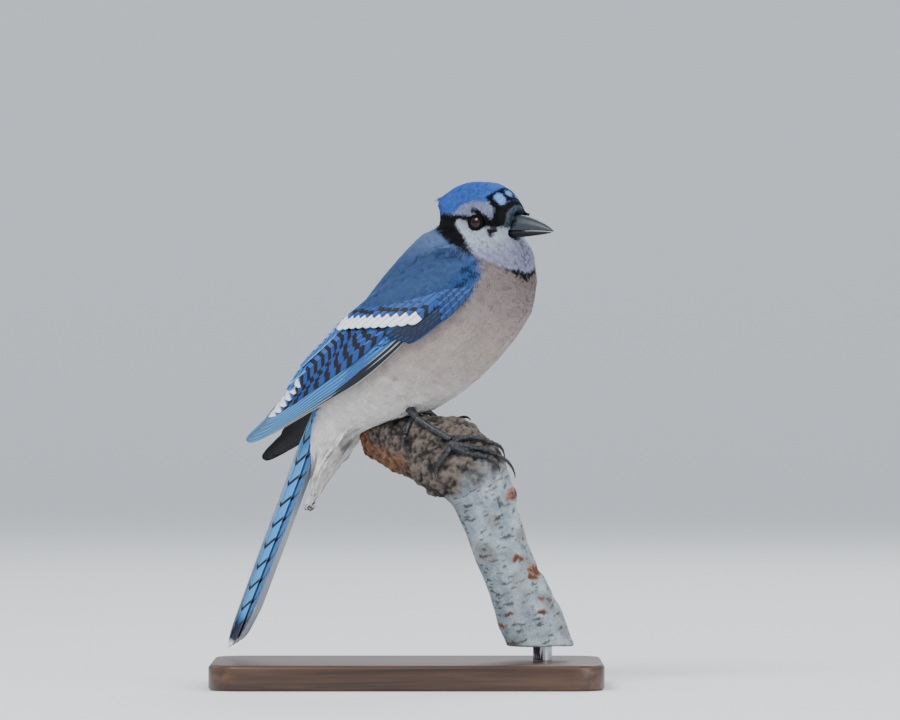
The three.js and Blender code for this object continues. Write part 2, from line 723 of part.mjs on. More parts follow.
// A round, tapered rod along points with a radius at each, grown by some millimetres.
function limb(points, radii, grow, sides = 5) {
  const rings = points.map((point, i) => {
    const ahead = points[Math.min(i + 1, points.length - 1)];
    const way = ahead.clone().sub(points[Math.max(i - 1, 0)]).normalize();
    const across = way.clone().cross(Math.abs(way.z) > 0.9 ? at(1, 0, 0) : at(0, 0, 1)).normalize();
    const up = across.clone().cross(way);
    const end = i === 0 ? -grow : i === points.length - 1 ? grow : 0;
    const middle = point.clone().addScaledVector(way, end);
    return Array.from({ length: sides }, (_, k) => {
      const a = (k / sides) * 2 * Math.PI;
      const reach = radii[i] + grow;
      const point = middle.clone().addScaledVector(across, reach * Math.cos(a));
      return point.addScaledVector(up, reach * Math.sin(a));
    });
  });
  return solid(skinOf(rings));
}

// A toe lies on the perch along places on its bark, with a knuckle at every joint.
function toeSolid({ way }, grow) {
  const steps = Math.round(1.5 * way.length);
  const points = [];
  const radii = [];
  for (let i = 0; i <= steps; i++) {
    const u = (i / steps) * (way.length - 1);
    const [place, degrees] = along(way, u);
    const radius = mix(TOE_RADIUS[0], TOE_RADIUS[1], i / steps) + KNUCKLE * Math.cos(2 * Math.PI * u);
    points.push(perchSpot(place, degrees, radius + GAP).point);
    radii.push(radius);
  }
  return limb(points, radii, grow);
}

function clawSolid({ way, claw }, grow) {
  const path = [[...way.at(-1), mix(...TOE_RADIUS, 1) + GAP], ...claw];
  const steps = 5;
  const points = [];
  const radii = [];
  for (let i = 0; i <= steps; i++) {
    const [place, degrees, lift] = along(path, (i / steps) * (path.length - 1));
    points.push(perchSpot(place, degrees, lift).point);
    radii.push(mix(CLAW_RADIUS, 0.22, (i / steps) ** 1.4));
  }
  const start = points[1].clone().sub(points[0]).normalize();
  points[0].addScaledVector(start, GAP + 0.05);
  return limb(points, radii, grow, 6);
}

// Stand
function baseSolid() {
  const [w, d, r] = [BASE_LENGTH / 2 - BASE_BEVEL, BASE_WIDTH / 2 - BASE_BEVEL, BASE_CORNER];
  const outline = new THREE.Shape();
  outline.moveTo(-w + r, -d).lineTo(w - r, -d).absarc(w - r, -d + r, r, -Math.PI / 2, 0);
  outline.lineTo(w, d - r).absarc(w - r, d - r, r, 0, Math.PI / 2);
  outline.lineTo(-w + r, d).absarc(-w + r, d - r, r, Math.PI / 2, Math.PI);
  outline.lineTo(-w, -d + r).absarc(-w + r, -d + r, r, Math.PI, Math.PI * 1.5);
  const plate = new THREE.ExtrudeGeometry(outline, {
    depth: BASE_HEIGHT - 2 * BASE_BEVEL,
    curveSegments: 4,
    bevelEnabled: true,
    bevelThickness: BASE_BEVEL,
    bevelSize: BASE_BEVEL,
    bevelSegments: 1,
  });
  return solid(plate.translate(0, 0, BASE_BEVEL));
}

// Assembly
const model = new THREE.Group();
function addNode(name, made, colour, roughness, metalness = 0) {
  const { vertProperties, triVerts } = largest(made.simplify(SURFACE_ERROR)).getMesh();
  const geometry = new THREE.BufferGeometry()
    .setAttribute("position", new THREE.BufferAttribute(new Float32Array(vertProperties), 3))
    .setIndex(new THREE.BufferAttribute(new Uint32Array(triVerts), 1));
  const material = new THREE.MeshStandardMaterial({ color: colour, roughness, metalness });
  const mesh = new THREE.Mesh(geometry, material);
  mesh.name = name;
  model.add(mesh);
}

const inBird = (made) => made.transform(matrixList(birdFrame));
const perch = perchSolid(0);
const perchRoom = perchSolid(GAP);

const bodyWhole = bodySolid(0);
const bodyRoom = bodySolid(GAP);
const skull = headSolid(0);
const skullRoom = headSolid(GAP);
const upperBill = billHalf(UPPER_BILL, 1, 0);
const lowerBill = billHalf(LOWER_BILL, -1, 0);
const billRoom = billHalf(UPPER_BILL, 1, GAP).add(billHalf(LOWER_BILL, -1, GAP));

function legSolid(side, grow) {
  const points = LEGS[side].map((p) => at(...p));
  const radii = points.map((_, i) => TARSUS_RADIUS + (i === 0 ? ANKLE_EXTRA : 0));
  return limb(points, radii, grow, 8);
}
const footSolid = (side, grow) => joined(TOES[side].map((toe) => toeSolid(toe, grow)));
const clawsRoom = (side) => joined(TOES[side].map((toe) => clawSolid(toe, GAP)));

// A half space behind or ahead of the neck's cut.
function neckHalf(ahead) {
  const { middle, way } = sectionOf(TORSO, NECK_CUT);
  const turn = new THREE.Quaternion().setFromUnitVectors(at(0, 0, 1), way);
  const side = ahead ? 1 : -1;
  const box = new THREE.BoxGeometry(SPACE, SPACE, SPACE).translate(0, 0, (side * (SPACE + GAP)) / 2);
  return solid(box.applyQuaternion(turn).translate(middle.x, middle.y, middle.z));
}

const lining = wingSlab(POCKET_LINING);
const wingRight = rightWing().subtract(bodyRoom.subtract(lining)).intersect(sideBox(-1));
const wingLeft = leftOf(rightWing()).subtract(bodyRoom.subtract(leftOf(lining))).intersect(sideBox(1));
const pockets = wingSlab(POCKET).add(leftOf(wingSlab(POCKET)));
const neckSpace = bodyRoom.intersect(neckHalf(true).add(skullRoom)).subtract(skull);
const feathersOfHead = joined([...crestVanes(), ...nasalTufts()]).subtract(neckSpace);
const head = joined([skull, feathersOfHead, lid(1), lid(-1)])
  .subtract(billRoom)
  .subtract(eyeball(1, GAP))
  .subtract(eyeball(-1, GAP));
const lidRoom = eyeball(1, LID_ROOM).add(eyeball(-1, LID_ROOM));
const headRoom = joined([skullRoom, billRoom, lidRoom]);
const neck = bodyWhole.intersect(neckHalf(true)).subtract(headRoom).subtract(pockets);
const wingSpace = wingSlab(WING_SPACE).add(leftOf(wingSlab(WING_SPACE)));
const undertail = joined(undertailVanes()).subtract(wingSpace).subtract(tailSolid(GAP));
const torso = bodyWhole.subtract(pockets).intersect(neckHalf(false)).add(undertail);
const tail = tailSolid(0).subtract(bodyRoom).subtract(wingSpace);

addNode("head", inBird(head), 0x4f74b4, 0.8);
addNode("bill_upper", inBird(upperBill), 0x23272b, 0.35);
addNode("bill_lower", inBird(lowerBill), 0x1d2023, 0.35);
addNode("eye_right", inBird(eyeball(-1, 0)), 0x1a0d0a, 0.08);
addNode("eye_left", inBird(eyeball(1, 0)), 0x1a0d0a, 0.08);
addNode("neck", inBird(neck), 0x9fb0cc, 0.85);
const SIDES = ["right", "left"];
const legRoom = joined(SIDES.flatMap((side) => [legSolid(side, GAP), footSolid(side, GAP), clawsRoom(side)]));
addNode("torso", inBird(torso).subtract(perchRoom).subtract(legRoom), 0xb9b2b0, 0.85);
addNode("wing_right", inBird(wingRight), 0x2f6fb5, 0.6);
addNode("wing_left", inBird(wingLeft), 0x2f6fb5, 0.6);
addNode("tail", inBird(tail), 0x3f83c6, 0.6);
for (const side of SIDES) {
  const foot = footSolid(side, 0).subtract(perchRoom);
  const leg = legSolid(side, 0).subtract(perchRoom).subtract(footSolid(side, GAP));
  addNode(`leg_${side}`, leg, 0x3c3f44, 0.6);
  addNode(`foot_${side}`, foot.subtract(clawsRoom(side)), 0x34363b, 0.6);
  TOES[side].forEach((toe, i) => {
    addNode(`claw_${side}_${i + 1}`, clawSolid(toe, 0).subtract(perchRoom), 0x1a1b1d, 0.35);
  });
}
addNode("perch", perch, 0xb9bfc0, 0.9);
addNode("stand_base", baseSolid(), 0x4a3524, 0.5);
const rodHeight = PERCH_CUT - BASE_HEIGHT - 2 * GAP;
const rodFoot = along(PERCH, 0.5);
addNode(
  "stand_rod",
  solid(
    new THREE.CylinderGeometry(ROD_RADIUS, ROD_RADIUS, rodHeight, 24)
      .rotateX(Math.PI / 2)
      .translate(rodFoot[0], rodFoot[1], BASE_HEIGHT + GAP + rodHeight / 2),
  ),
  0xb8bcc0,
  0.3,
  1,
);

export default model;
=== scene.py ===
import math
import bpy
import numpy as np
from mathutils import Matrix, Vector, noise
from mathutils.bvhtree import BVHTree


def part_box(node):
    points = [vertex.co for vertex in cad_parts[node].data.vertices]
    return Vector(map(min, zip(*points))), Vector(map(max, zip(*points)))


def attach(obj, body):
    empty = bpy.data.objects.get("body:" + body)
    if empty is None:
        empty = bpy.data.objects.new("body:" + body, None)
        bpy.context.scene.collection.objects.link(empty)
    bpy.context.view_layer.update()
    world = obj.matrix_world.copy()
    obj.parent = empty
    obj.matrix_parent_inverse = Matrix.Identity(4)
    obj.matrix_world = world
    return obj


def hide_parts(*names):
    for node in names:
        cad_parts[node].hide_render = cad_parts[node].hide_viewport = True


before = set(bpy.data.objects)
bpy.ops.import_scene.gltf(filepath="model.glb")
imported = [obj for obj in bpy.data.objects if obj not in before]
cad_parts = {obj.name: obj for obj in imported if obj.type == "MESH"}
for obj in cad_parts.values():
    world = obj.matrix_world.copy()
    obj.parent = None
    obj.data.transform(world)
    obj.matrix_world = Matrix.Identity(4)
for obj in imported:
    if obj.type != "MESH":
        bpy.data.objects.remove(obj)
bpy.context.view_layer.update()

# Display base. A rounded hardwood plate, sawn, sanded and oiled dark, so that the grain shows under a
# thin satin film. It takes the CAD plate's own outline, with softened edges.
MM = 0.001
# Figures of the grain in one mm, along the plate and across it
GRAIN_ALONG, GRAIN_ACROSS = 0.012, 0.24
EDGE_SOFTNESS = 0.5 * MM
BEVEL_FROM, CREASE = math.radians(35), math.radians(30)
WELD = 0.002 * MM


def linear(hex_code):
    """sRGB hex colour as linear RGBA."""
    parts = [int(hex_code[i:i + 2], 16) / 255 for i in (0, 2, 4)]
    return (*[c / 12.92 if c <= 0.04045 else ((c + 0.055) / 1.055) ** 2.4 for c in parts], 1.0)


def node(material, kind, settings=None, *values, **inputs):
    """One shader node with its settings. Its inputs, in order or by name, are values or sockets to link.

    A name such as i6 is an input's number, for a node that has several of one name.
    """
    made = material.node_tree.nodes.new("ShaderNode" + kind)
    for name, value in (settings or {}).items():
        setattr(made, name, value)
    places = dict(enumerate(values))
    for name, value in inputs.items():
        places[int(name[1:]) if name[1:].isdigit() else name.replace("_", " ")] = value
    for place, value in places.items():
        if isinstance(value, bpy.types.NodeSocket):
            material.node_tree.links.new(value, made.inputs[place])
        else:
            made.inputs[place].default_value = value
    return made


def new_material(name, **inputs):
    """A material with one Principled surface, whose sockets take the given values."""
    material = bpy.data.materials.new(name)
    material.use_nodes = True
    surface = material.node_tree.nodes["Principled BSDF"]
    for socket, value in inputs.items():
        surface.inputs[socket.replace("_", " ")].default_value = value
    return material


def link(material, source, socket):
    """Links a node's output to a socket of the material's surface."""
    material.node_tree.links.new(source, material.node_tree.nodes["Principled BSDF"].inputs[socket])


def pick(obj):
    """Makes one object the only selected and active one."""
    if bpy.context.object and bpy.context.object.mode != "OBJECT":
        bpy.ops.object.mode_set(mode="OBJECT")
    bpy.ops.object.select_all(action="DESELECT")
    obj.select_set(True)
    bpy.context.view_layer.objects.active = obj


def copy_of(*names):
    """A merged copy of CAD nodes as one new object."""
    bpy.ops.object.select_all(action="DESELECT")
    copies = []
    for name in names:
        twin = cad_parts[name].copy()
        twin.data = twin.data.copy()
        twin.parent = None
        for key in list(twin.keys()):
            del twin[key]
        bpy.context.scene.collection.objects.link(twin)
        twin.select_set(True)
        copies.append(twin)
    bpy.context.view_layer.objects.active = copies[0]
    if len(copies) > 1:
        bpy.ops.object.join()
    pick(copies[0])
    copies[0].data.materials.clear()
    bpy.ops.object.mode_set(mode="EDIT")
    bpy.ops.mesh.select_all(action="SELECT")
    bpy.ops.mesh.remove_doubles(threshold=WELD)
    bpy.ops.object.mode_set(mode="OBJECT")
    return copies[0]


def modified(obj, kind, **settings):
    """Adds a modifier with its settings and applies it."""
    pick(obj)
    modifier = obj.modifiers.new(kind, kind)
    for name, value in settings.items():
        setattr(modifier, name, value)
    bpy.ops.object.modifier_apply(modifier=modifier.name)


def rounded(obj, voxel, smoothing):
    """Turns faceted CAD solids into one even, smooth surface."""
    modified(obj, "REMESH", mode="VOXEL", voxel_size=voxel, use_smooth_shade=True)
    if smoothing:
        modified(obj, "SMOOTH", factor=0.5, iterations=smoothing)


def placed_piece(obj, name, material, slot, *nodes):
    """Names a finished piece, gives it its material and lets it take its nodes' place. The slot is not used.
    """
    obj.name = name
    if material:
        obj.data.materials.clear()
        obj.data.materials.append(material)
    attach(obj, "root")
    if nodes:
        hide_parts(*nodes)


walnut = new_material("oiled walnut", Roughness=0.42, IOR=1.5, Coat_Weight=0.15)
walnut_coords = node(walnut, "TexCoord").outputs["Object"]
grain_size = (GRAIN_ALONG / MM, GRAIN_ACROSS / MM, GRAIN_ACROSS / MM)
grain_space = node(walnut, "Mapping", Vector=walnut_coords, Scale=grain_size).outputs[0]
grain = node(walnut, "TexNoise", Vector=grain_space, Scale=1.0, Detail=6.0, Distortion=0.6)
grain_colour = node(walnut, "ValToRGB", Fac=grain.outputs["Fac"])
grain_colour.color_ramp.elements[0].color = linear("2a1a10")
grain_colour.color_ramp.elements[0].position = 0.3
grain_colour.color_ramp.elements[1].color = linear("5d3f29")
grain_colour.color_ramp.elements[1].position = 0.72
link(walnut, grain_colour.outputs[0], "Base Color")
plate = copy_of("stand_base")
modified(plate, "BEVEL", width=EDGE_SOFTNESS, segments=2, limit_method="ANGLE", angle_limit=BEVEL_FROM)
pick(plate)
bpy.ops.object.shade_smooth_by_angle(angle=CREASE)
placed_piece(plate, "display_base", walnut, "oiled_wood", "stand_base")

# Rod. A short steel pin, drawn to size and brushed, that is pressed into the base and holds the branch's
# sawn end clear of it. The brushing is too fine to show, so it only spreads the gloss.
steel = new_material("brushed steel", Metallic=1.0, Roughness=0.32, Base_Color=linear("b4b6b8"))
pin = copy_of("stand_rod")
pick(pin)
bpy.ops.object.shade_smooth_by_angle(angle=CREASE)
placed_piece(pin, "display_rod", steel, "steel", "stand_rod")

# Branch. A cut length of living-grey bark with dark pores, orange scars and a rough dark collar at the
# bend, broken through at its upper end, where bare wood shows. Its relief is pushed into the mesh.
BARK_VOXEL = 0.75 * MM
BARK_GRAINS = 0.9  # in one mm
BARK_BUMP = 0.4 * MM
PATH_STEPS = 400
# Middle line from the sawn end up, as x, y, z and radius in mm
PERCH = np.array([
    [66.5, -1, 10, 15.2], [60.2, -2, 26.3, 15], [54.8, -4, 38.5, 14.4], [44.8, -7, 63, 13],
    [37, -10, 84, 13.4], [30, -11.5, 98, 15.6], [20, -8, 107, 16.2], [6, 0, 112.5, 15],
    [-6, 9, 115.5, 13.4], [-15, 17, 117.5, 10.5]])
# Rows of that line between which the rough collar, the break and the bare wood underneath set in
COLLAR_ROWS, BREAK_ROWS, BARE_ROWS = (4.55, 5.1), (8.3, 8.75), (6.4, 7.4)
# Scars: place on the branch's near side as x and z in mm, size and rise
SCARS = [(52.1, 60.9, 3.4, 0.4), (60.8, 55, 4.6, -0.9), (59.9, 51.7, 2.6, -0.4), (62.2, 41.5, 2.1, 0.3),
         (63.6, 35.3, 2.6, -0.4), (48.9, 34.9, 1.6, 0.2), (45.1, 28.9, 2.2, 0.2), (51.2, 90.6, 5.6, 1.8)]


def smooth_step(low, high, value):
    share = np.clip((value - low) / (high - low), 0, 1)
    return share * share * (3 - 2 * share)


def points_of(obj):
    flat = np.empty(len(obj.data.vertices) * 3)
    obj.data.vertices.foreach_get("co", flat)
    return flat.reshape(-1, 3)


def normals_of(obj):
    flat = np.empty(len(obj.data.vertices) * 3)
    obj.data.vertices.foreach_get("normal", flat)
    return flat.reshape(-1, 3)


def set_points(obj, points):
    obj.data.vertices.foreach_set("co", np.ascontiguousarray(points).ravel())
    obj.data.update()


def paint(obj, name, colours):
    """Writes one linear colour to each point."""
    layer = obj.data.color_attributes.new(name, "FLOAT_COLOR", "POINT")
    full = np.ones((len(colours), 4))
    full[:, :3] = colours
    layer.data.foreach_set("color", full.ravel())


def blend(first, second, share):
    return first + (second - first) * np.asarray(share)[:, None]


def rgb(hex_code):
    return np.array(linear(hex_code)[:3])


def cloud(points, scale, seed=0.0):
    """Smooth noise from 0 to 1 at each point, with features of about the given size in mm."""
    shift = Vector((seed, seed * 1.7, seed * 0.6))
    return np.array([0.5 + 0.5 * noise.noise(Vector(p) / scale + shift) for p in points])


def nearest_on_path(points):
    """For points in mm: distance along the branch, the path point, the radius there and the row."""
    row = np.linspace(0, len(PERCH) - 1, PATH_STEPS)
    path = np.column_stack([np.interp(row, np.arange(len(PERCH)), PERCH[:, c]) for c in range(4)])
    along = np.concatenate([[0], np.cumsum(np.linalg.norm(np.diff(path[:, :3], axis=0), axis=1))])
    best = np.array([np.argmin(((path[:, :3] - p) ** 2).sum(1)) for p in points])
    return along[best], path[best, :3], path[best, 3], row[best]


branch = copy_of("perch")
rounded(branch, BARK_VOXEL, 3)
bark_points = points_of(branch) / MM
bark_normals = normals_of(branch)
along, path_points, path_radius, station = nearest_on_path(bark_points)
spoke = bark_points - path_points
around = np.arctan2(spoke[:, 1], spoke[:, 0] * 0.8 + spoke[:, 2] * 0.4)
rough = smooth_step(*COLLAR_ROWS, station + 0.5 * (cloud(bark_points, 9, 3) - 0.5))
broken = smooth_step(*BREAK_ROWS, station + 0.4 * (cloud(bark_points, 6, 8) - 0.5))
under = smooth_step(-0.1, 0.6, -spoke[:, 2] / np.maximum(path_radius, 1)) * smooth_step(*BARE_ROWS, station)
lumps, grit = cloud(bark_points, 5, 1) - 0.5, cloud(bark_points, 1.9, 5) - 0.5
dust = cloud(bark_points, 0.9, 15) - 0.5
swell = cloud(bark_points, 14, 2) - 0.5
# Heights in mm: a slow swell all along, fine grit on the smooth bark, lumps and crumbs on the collar
relief = 0.7 * swell + (1 - rough) * 0.2 * grit + rough * (2.4 * lumps + 1.5 * grit + 0.7 * dust)
ragged = 3.4 * (cloud(bark_points, 2.6, 31) - 0.5) + 1.6 * grit
scar = np.zeros(len(bark_points))
for x, z, size, rise in SCARS:
    gap = np.hypot(bark_points[:, 0] - x + ragged, (bark_points[:, 2] - z) * 1.5 + ragged)
    near = np.exp(-(gap / size) ** 3) * (bark_points[:, 1] < path_points[:, 1] + 6)
    relief = relief + rise * near
    scar = np.maximum(scar, near)
splinter = cloud(bark_points * np.array([0.35, 1, 1]), 2.2, 6) - 0.5
relief = relief * (1 - under * 0.6) + (under + broken) * 1.3 * splinter
set_points(branch, (bark_points + bark_normals * relief[:, None]) * MM)
pore = np.column_stack([along * 0.9, np.cos(around) * 12, np.sin(around) * 12])
dashes = smooth_step(0.6, 0.67, cloud(pore * np.array([1, 0.28, 0.28]), 1.0, 4))
dashes = dashes * smooth_step(0.36, 0.52, cloud(bark_points, 4, 11))
mottle = cloud(bark_points, 6, 7) + 0.5 * grit
colours = blend(rgb("717e86"), rgb("9eabb1"), np.clip(mottle * 1.4 - 0.2, 0, 1))
colours = blend(colours, rgb("6f6a62"), 0.6 * smooth_step(0.52, 0.75, cloud(bark_points, 9, 9)))
colours = blend(colours, rgb("2c2b2c"), dashes * 0.8)
# The collar's colour follows its relief: darker in the hollows and paler on the lumps
dark = blend(rgb("181513"), rgb("625850"), smooth_step(-0.3, 0.3, lumps + 0.9 * grit + 0.5 * dust))
colours = blend(colours, dark, rough)
fibres = np.clip(cloud(bark_points, 2.5, 12) * 1.6 - 0.3 - dust, 0, 1)
wood = blend(rgb("8a5a36"), rgb("33221a"), fibres)
colours = blend(colours, wood, np.clip(under * 0.85 + broken, 0, 1))
colours = blend(colours, rgb("8a5234"), smooth_step(0.3, 0.6, scar) * 0.85)
colours = blend(colours, rgb("2a1814"), smooth_step(0.55, 0.9, scar + 0.8 * grit) * 0.8)
paint(branch, "Bark", colours)
bark = new_material("weathered bark", Roughness=0.88, IOR=1.45)
bark_paint = node(bark, "Attribute", {"attribute_name": "Bark"}).outputs["Color"]
bark_coords = node(bark, "TexCoord").outputs["Object"]
bark_fine = node(bark, "TexNoise", Vector=bark_coords, Scale=BARK_GRAINS / MM, Detail=5.0).outputs["Fac"]
bark_overlay = {"data_type": "RGBA", "blend_type": "OVERLAY"}
bark_shade = node(bark, "Mix", bark_overlay, 0.45, i6=bark_paint, i7=bark_fine)
bark_bump = node(bark, "Bump", Height=bark_fine, Strength=0.35, Distance=BARK_BUMP)
link(bark, bark_shade.outputs[2], "Base Color")
link(bark, bark_bump.outputs[0], "Normal")
placed_piece(branch, "cut_branch", bark, "bark", "perch")

# Skin. Under the coat one surface runs from the brow to the tail root and over both folded arms, so
# that no seam shows. It lies inside the CAD solids by the depth of the small feathers.
BODY_X, BODY_YAW, HEAD_YAW = 10, 15, 38
HEAD_AT = np.array([27.5, 0, 221.5])
COAT_DEPTH = 0.8 * MM
THIN_SHARE = 0.15
SKIN_VOXEL = 1.2 * MM
SKIN_ROUNDING = 13
# Middle line of the right wing as x, z, half width and half height in mm, and the degrees it spans
WING = np.array([
    [29, 196, 24, 24], [17, 184.5, 30.5, 31], [3, 171, 33, 34], [-12, 157.5, 32, 32.5], [-28, 146, 28.5, 28],
    [-43, 137.5, 24, 21.5], [-57.5, 129.5, 19.5, 14.5], [-72, 121.5, 15.5, 8], [-85, 114.5, 12.5, 3.5]])
WING_LOW = [-14, -13, -5, 2, 7, 7, 4, 0, 0]
WING_HIGH = [28, 42, 52, 62, 76, 82, 82, 70, 40]
DROOP, LEFT_BACK = 5.2, 6.5
# Stations and degrees of the line on each wing where the smooth scapular feathers end
SCAPULAR_EDGE = np.array([
    [0, -10], [0.65, -4], [1.3, 6], [2.25, 20], [3, 36], [3.6, 51], [4.1, 86], [4.6, 95]])
SCAPULAR_RISE = 2.5
ARM_STATIONS, ARM_STEPS, ARM_ACROSS = (0.12, 4.6), 26, 22
ARM_LIFT, ARM_SINK, ARM_THICK, ARM_FADE = 0.9, 1.2, 4.0, 16


def turn(degrees):
    a = math.radians(degrees)
    return np.array([[math.cos(a), -math.sin(a), 0], [math.sin(a), math.cos(a), 0], [0, 0, 1]])


def bird_to_world(points):
    return points @ turn(-BODY_YAW).T + np.array([BODY_X, 0, 0])


def world_to_bird(points):
    return (points - np.array([BODY_X, 0, 0])) @ turn(-BODY_YAW)


def bird_to_head(points):
    return (points - HEAD_AT) @ turn(BODY_YAW - HEAD_YAW)


def head_to_bird(points):
    return points @ turn(BODY_YAW - HEAD_YAW).T + HEAD_AT


def along_table(table, u):
    """Rows of a table at fractional row numbers, on a smooth curve through its rows."""
    u = np.clip(np.asarray(u, float), 0, len(table) - 1)
    i = np.minimum(u.astype(int), len(table) - 2)
    t = (u - i)[..., None]

    def row(k):
        return table[np.clip(k, 0, len(table) - 1)]

    a, b, d, e = row(i - 1), row(i), row(i + 1), row(i + 2)
    m, n = (d - a) / 2, (e - b) / 2
    start, end = 2 * t ** 3 - 3 * t ** 2 + 1, 3 * t ** 2 - 2 * t ** 3
    return start * b + (t ** 3 - 2 * t ** 2 + t) * m + end * d + (t ** 3 - t ** 2) * n


def wing_spot(u, degrees, lift):
    """Points off the folded wing's surface in the bird's frame, and the way off it, for the right wing."""
    u, degrees, lift = np.broadcast_arrays(np.asarray(u, float), degrees, lift)
    rows = along_table(WING, u)
    way = along_table(WING, u + 0.02)[..., :2] - along_table(WING, u - 0.02)[..., :2]
    way = way / np.linalg.norm(way, axis=-1, keepdims=True)
    back = np.stack([-np.abs(way[..., 1]), np.zeros_like(u), np.abs(way[..., 0])], -1)
    middle = np.stack([rows[..., 0], np.zeros_like(u), rows[..., 1]], -1)
    a = np.radians(degrees)
    width, high = rows[..., 2], rows[..., 3]
    side = np.array([0, -1, 0])
    point = middle + side * (width * np.cos(a))[..., None] + back * (high * np.sin(a))[..., None]
    out = side * (np.cos(a) / width)[..., None] + back * (np.sin(a) / high)[..., None]
    out = out / np.linalg.norm(out, axis=-1, keepdims=True)
    return point + out * lift[..., None], out


SHOULDER = wing_spot(1.0, 0.0, 0.0)[0]


def to_left(points):
    """Mirrors right-wing points to the left wing, which hangs a little lower and further back."""
    pivot = np.array([SHOULDER[0] - LEFT_BACK, 0, SHOULDER[2]])
    home = np.array([SHOULDER[0], 0, SHOULDER[2]])
    a = math.radians(-DROOP)
    tip = np.array([[math.cos(a), 0, math.sin(a)], [0, 1, 0], [-math.sin(a), 0, math.cos(a)]])
    return (points * np.array([1, -1, 1]) - home) @ tip.T + pivot


def mesh_object(name, points, faces):
    """A mesh object from points in mm in the bird's frame."""
    mesh = bpy.data.meshes.new(name)
    mesh.from_pydata((bird_to_world(points) * MM).tolist(), [], faces)
    mesh.update()
    obj = bpy.data.objects.new(name, mesh)
    bpy.context.scene.collection.objects.link(obj)
    return obj


def turned_outwards(obj):
    """Turns every face of a closed mesh outwards."""
    pick(obj)
    bpy.ops.object.mode_set(mode="EDIT")
    bpy.ops.mesh.select_all(action="SELECT")
    bpy.ops.mesh.normals_make_consistent(inside=False)
    bpy.ops.object.mode_set(mode="OBJECT")


def arm_shell(left):
    """The folded arm as one thin closed shell, higher where the scapular feathers lie over the wing."""
    first, last = ARM_STATIONS
    rows = []
    for r in range(ARM_STEPS + 1):
        u = first + (last - first) * r / ARM_STEPS
        thin = min(1.0, (1 - r / ARM_STEPS) * 2.4 + 0.05)
        low, high = np.interp(u, range(9), WING_LOW), np.interp(u, range(9), WING_HIGH)
        angles = np.linspace(low, high, ARM_ACROSS + 1)
        edge = np.interp(u, SCAPULAR_EDGE[:, 0], SCAPULAR_EDGE[:, 1])
        inner = smooth_step(high, high - ARM_FADE, angles)
        rise = ARM_LIFT + SCAPULAR_RISE * smooth_step(edge - 3, edge + 5, angles)
        height = rise * thin * inner - ARM_SINK * (1 - inner)
        top = wing_spot(u, angles, height)[0]
        under_side = wing_spot(u, angles[::-1], -ARM_THICK)[0]
        rows.append(np.concatenate([top, under_side]))
    points = np.concatenate(rows)
    if left:
        points = to_left(points)
    n = 2 * (ARM_ACROSS + 1)
    faces = [(r * n + k, r * n + (k + 1) % n, (r + 1) * n + (k + 1) % n, (r + 1) * n + k)
             for r in range(ARM_STEPS) for k in range(n)]
    faces += [tuple(range(n))[::-1], tuple(ARM_STEPS * n + k for k in range(n))]
    obj = mesh_object("arm", points, faces)
    turned_outwards(obj)
    return obj


skin = copy_of("head", "neck", "torso")
arms = [arm_shell(False), arm_shell(True)]
pick(skin)
for arm in arms:
    arm.select_set(True)
bpy.ops.object.join()
rounded(skin, SKIN_VOXEL, SKIN_ROUNDING)
skin_points, skin_outs = points_of(skin), normals_of(skin)
# A first try at the full depth shows the thin parts, such as the crest, which it would turn inside out
set_points(skin, skin_points - skin_outs * COAT_DEPTH)
thin = (normals_of(skin) * skin_outs).sum(1) < 0.6
depth = np.where(thin, THIN_SHARE * COAT_DEPTH, COAT_DEPTH)
set_points(skin, skin_points - skin_outs * depth[:, None])
modified(skin, "SMOOTH", factor=0.5, iterations=3)

# Markings. Patches of colour drawn as outlines in mm on the head's and body's near side, seen level and
# from the photograph's side, and mirrored to the far side, so that skin and coat carry the same pattern.
BAND = [(-23.7, 0), (-17, 0), (-12.5, -1.3), (-13.7, -4.2), (-12.8, -7.8), (-10.3, -10.5),
    (-9.3, -13.2), (-8, -15.5), (-5.8, -18.8), (-7.1, -20), (-9.5, -18.6), (-12.7, -16.4),
    (-17, -14.3), (-19.7, -12.4), (-21.9, -8.7), (-23, -4.2)]
EYE_LINE = [(-13.8, -0.9), (-6.2, -1.5), (-4.6, -2.4), (-5.3, -3.5), (-10.7, -2.3), (-13.4, -2.1)]
EYE_RIM = [(-7.1, -1.9), (-5.3, -1), (-3, -0.6), (-1, -1.6), (1, -3.5), (3.7, -4.2), (3.7, -6),
    (0.6, -5.6), (-1, -6.8), (-3, -7.5), (-4.8, -6.5), (-6.3, -4.6)]
BROW_LINE = [(-6.2, 2), (-3.5, 1.2), (-1, -0.8), (1.3, -2.6), (3.3, -3), (3.3, -4), (0.8, -3.6),
    (-1.7, -1.8), (-3.9, 0.2), (-6.2, 1.3)]
LORE = [(3.1, 9.2), (4.2, 6.6), (6.2, 5.2), (8.1, 3.4), (10.3, 5.2), (13.9, 6.2), (16.3, 5.8),
    (18.1, 5.1), (19, 3.4), (17.2, 3.9), (13.9, 3.3), (11.2, 1), (9.8, -2.4), (9.5, -6), (5.5, -6.5),
    (2.6, -6.5), (1, -4.6), (3.1, -3), (3.6, -0.1), (3.4, 2.8), (1.7, 5.3), (0.1, 7.5)]
SPOT_RIM = [(11.2, 13.3), (15.2, 10.9), (17.8, 7.9), (19.2, 3.7), (16.8, 5.5), (13.9, 6), (10, 5.5),
    (9.5, 7.5), (7.6, 9.2), (2.8, 8.4), (0.6, 7.9), (3.1, 9.4), (7.8, 12)]
SPOT_ONE = [(3.6, 8.1), (5.5, 9.4), (7.7, 9), (9.3, 7.2), (9.8, 5.4), (8.2, 3.7), (6.4, 5.4),
    (4.4, 6.6)]
SPOT_TWO = [(8.8, 10.8), (10.5, 11.6), (12.6, 10.3), (15.2, 8.6), (16.5, 7.2), (16.1, 6.4),
    (13.7, 6.9), (11.3, 8.4), (9.5, 9.4)]
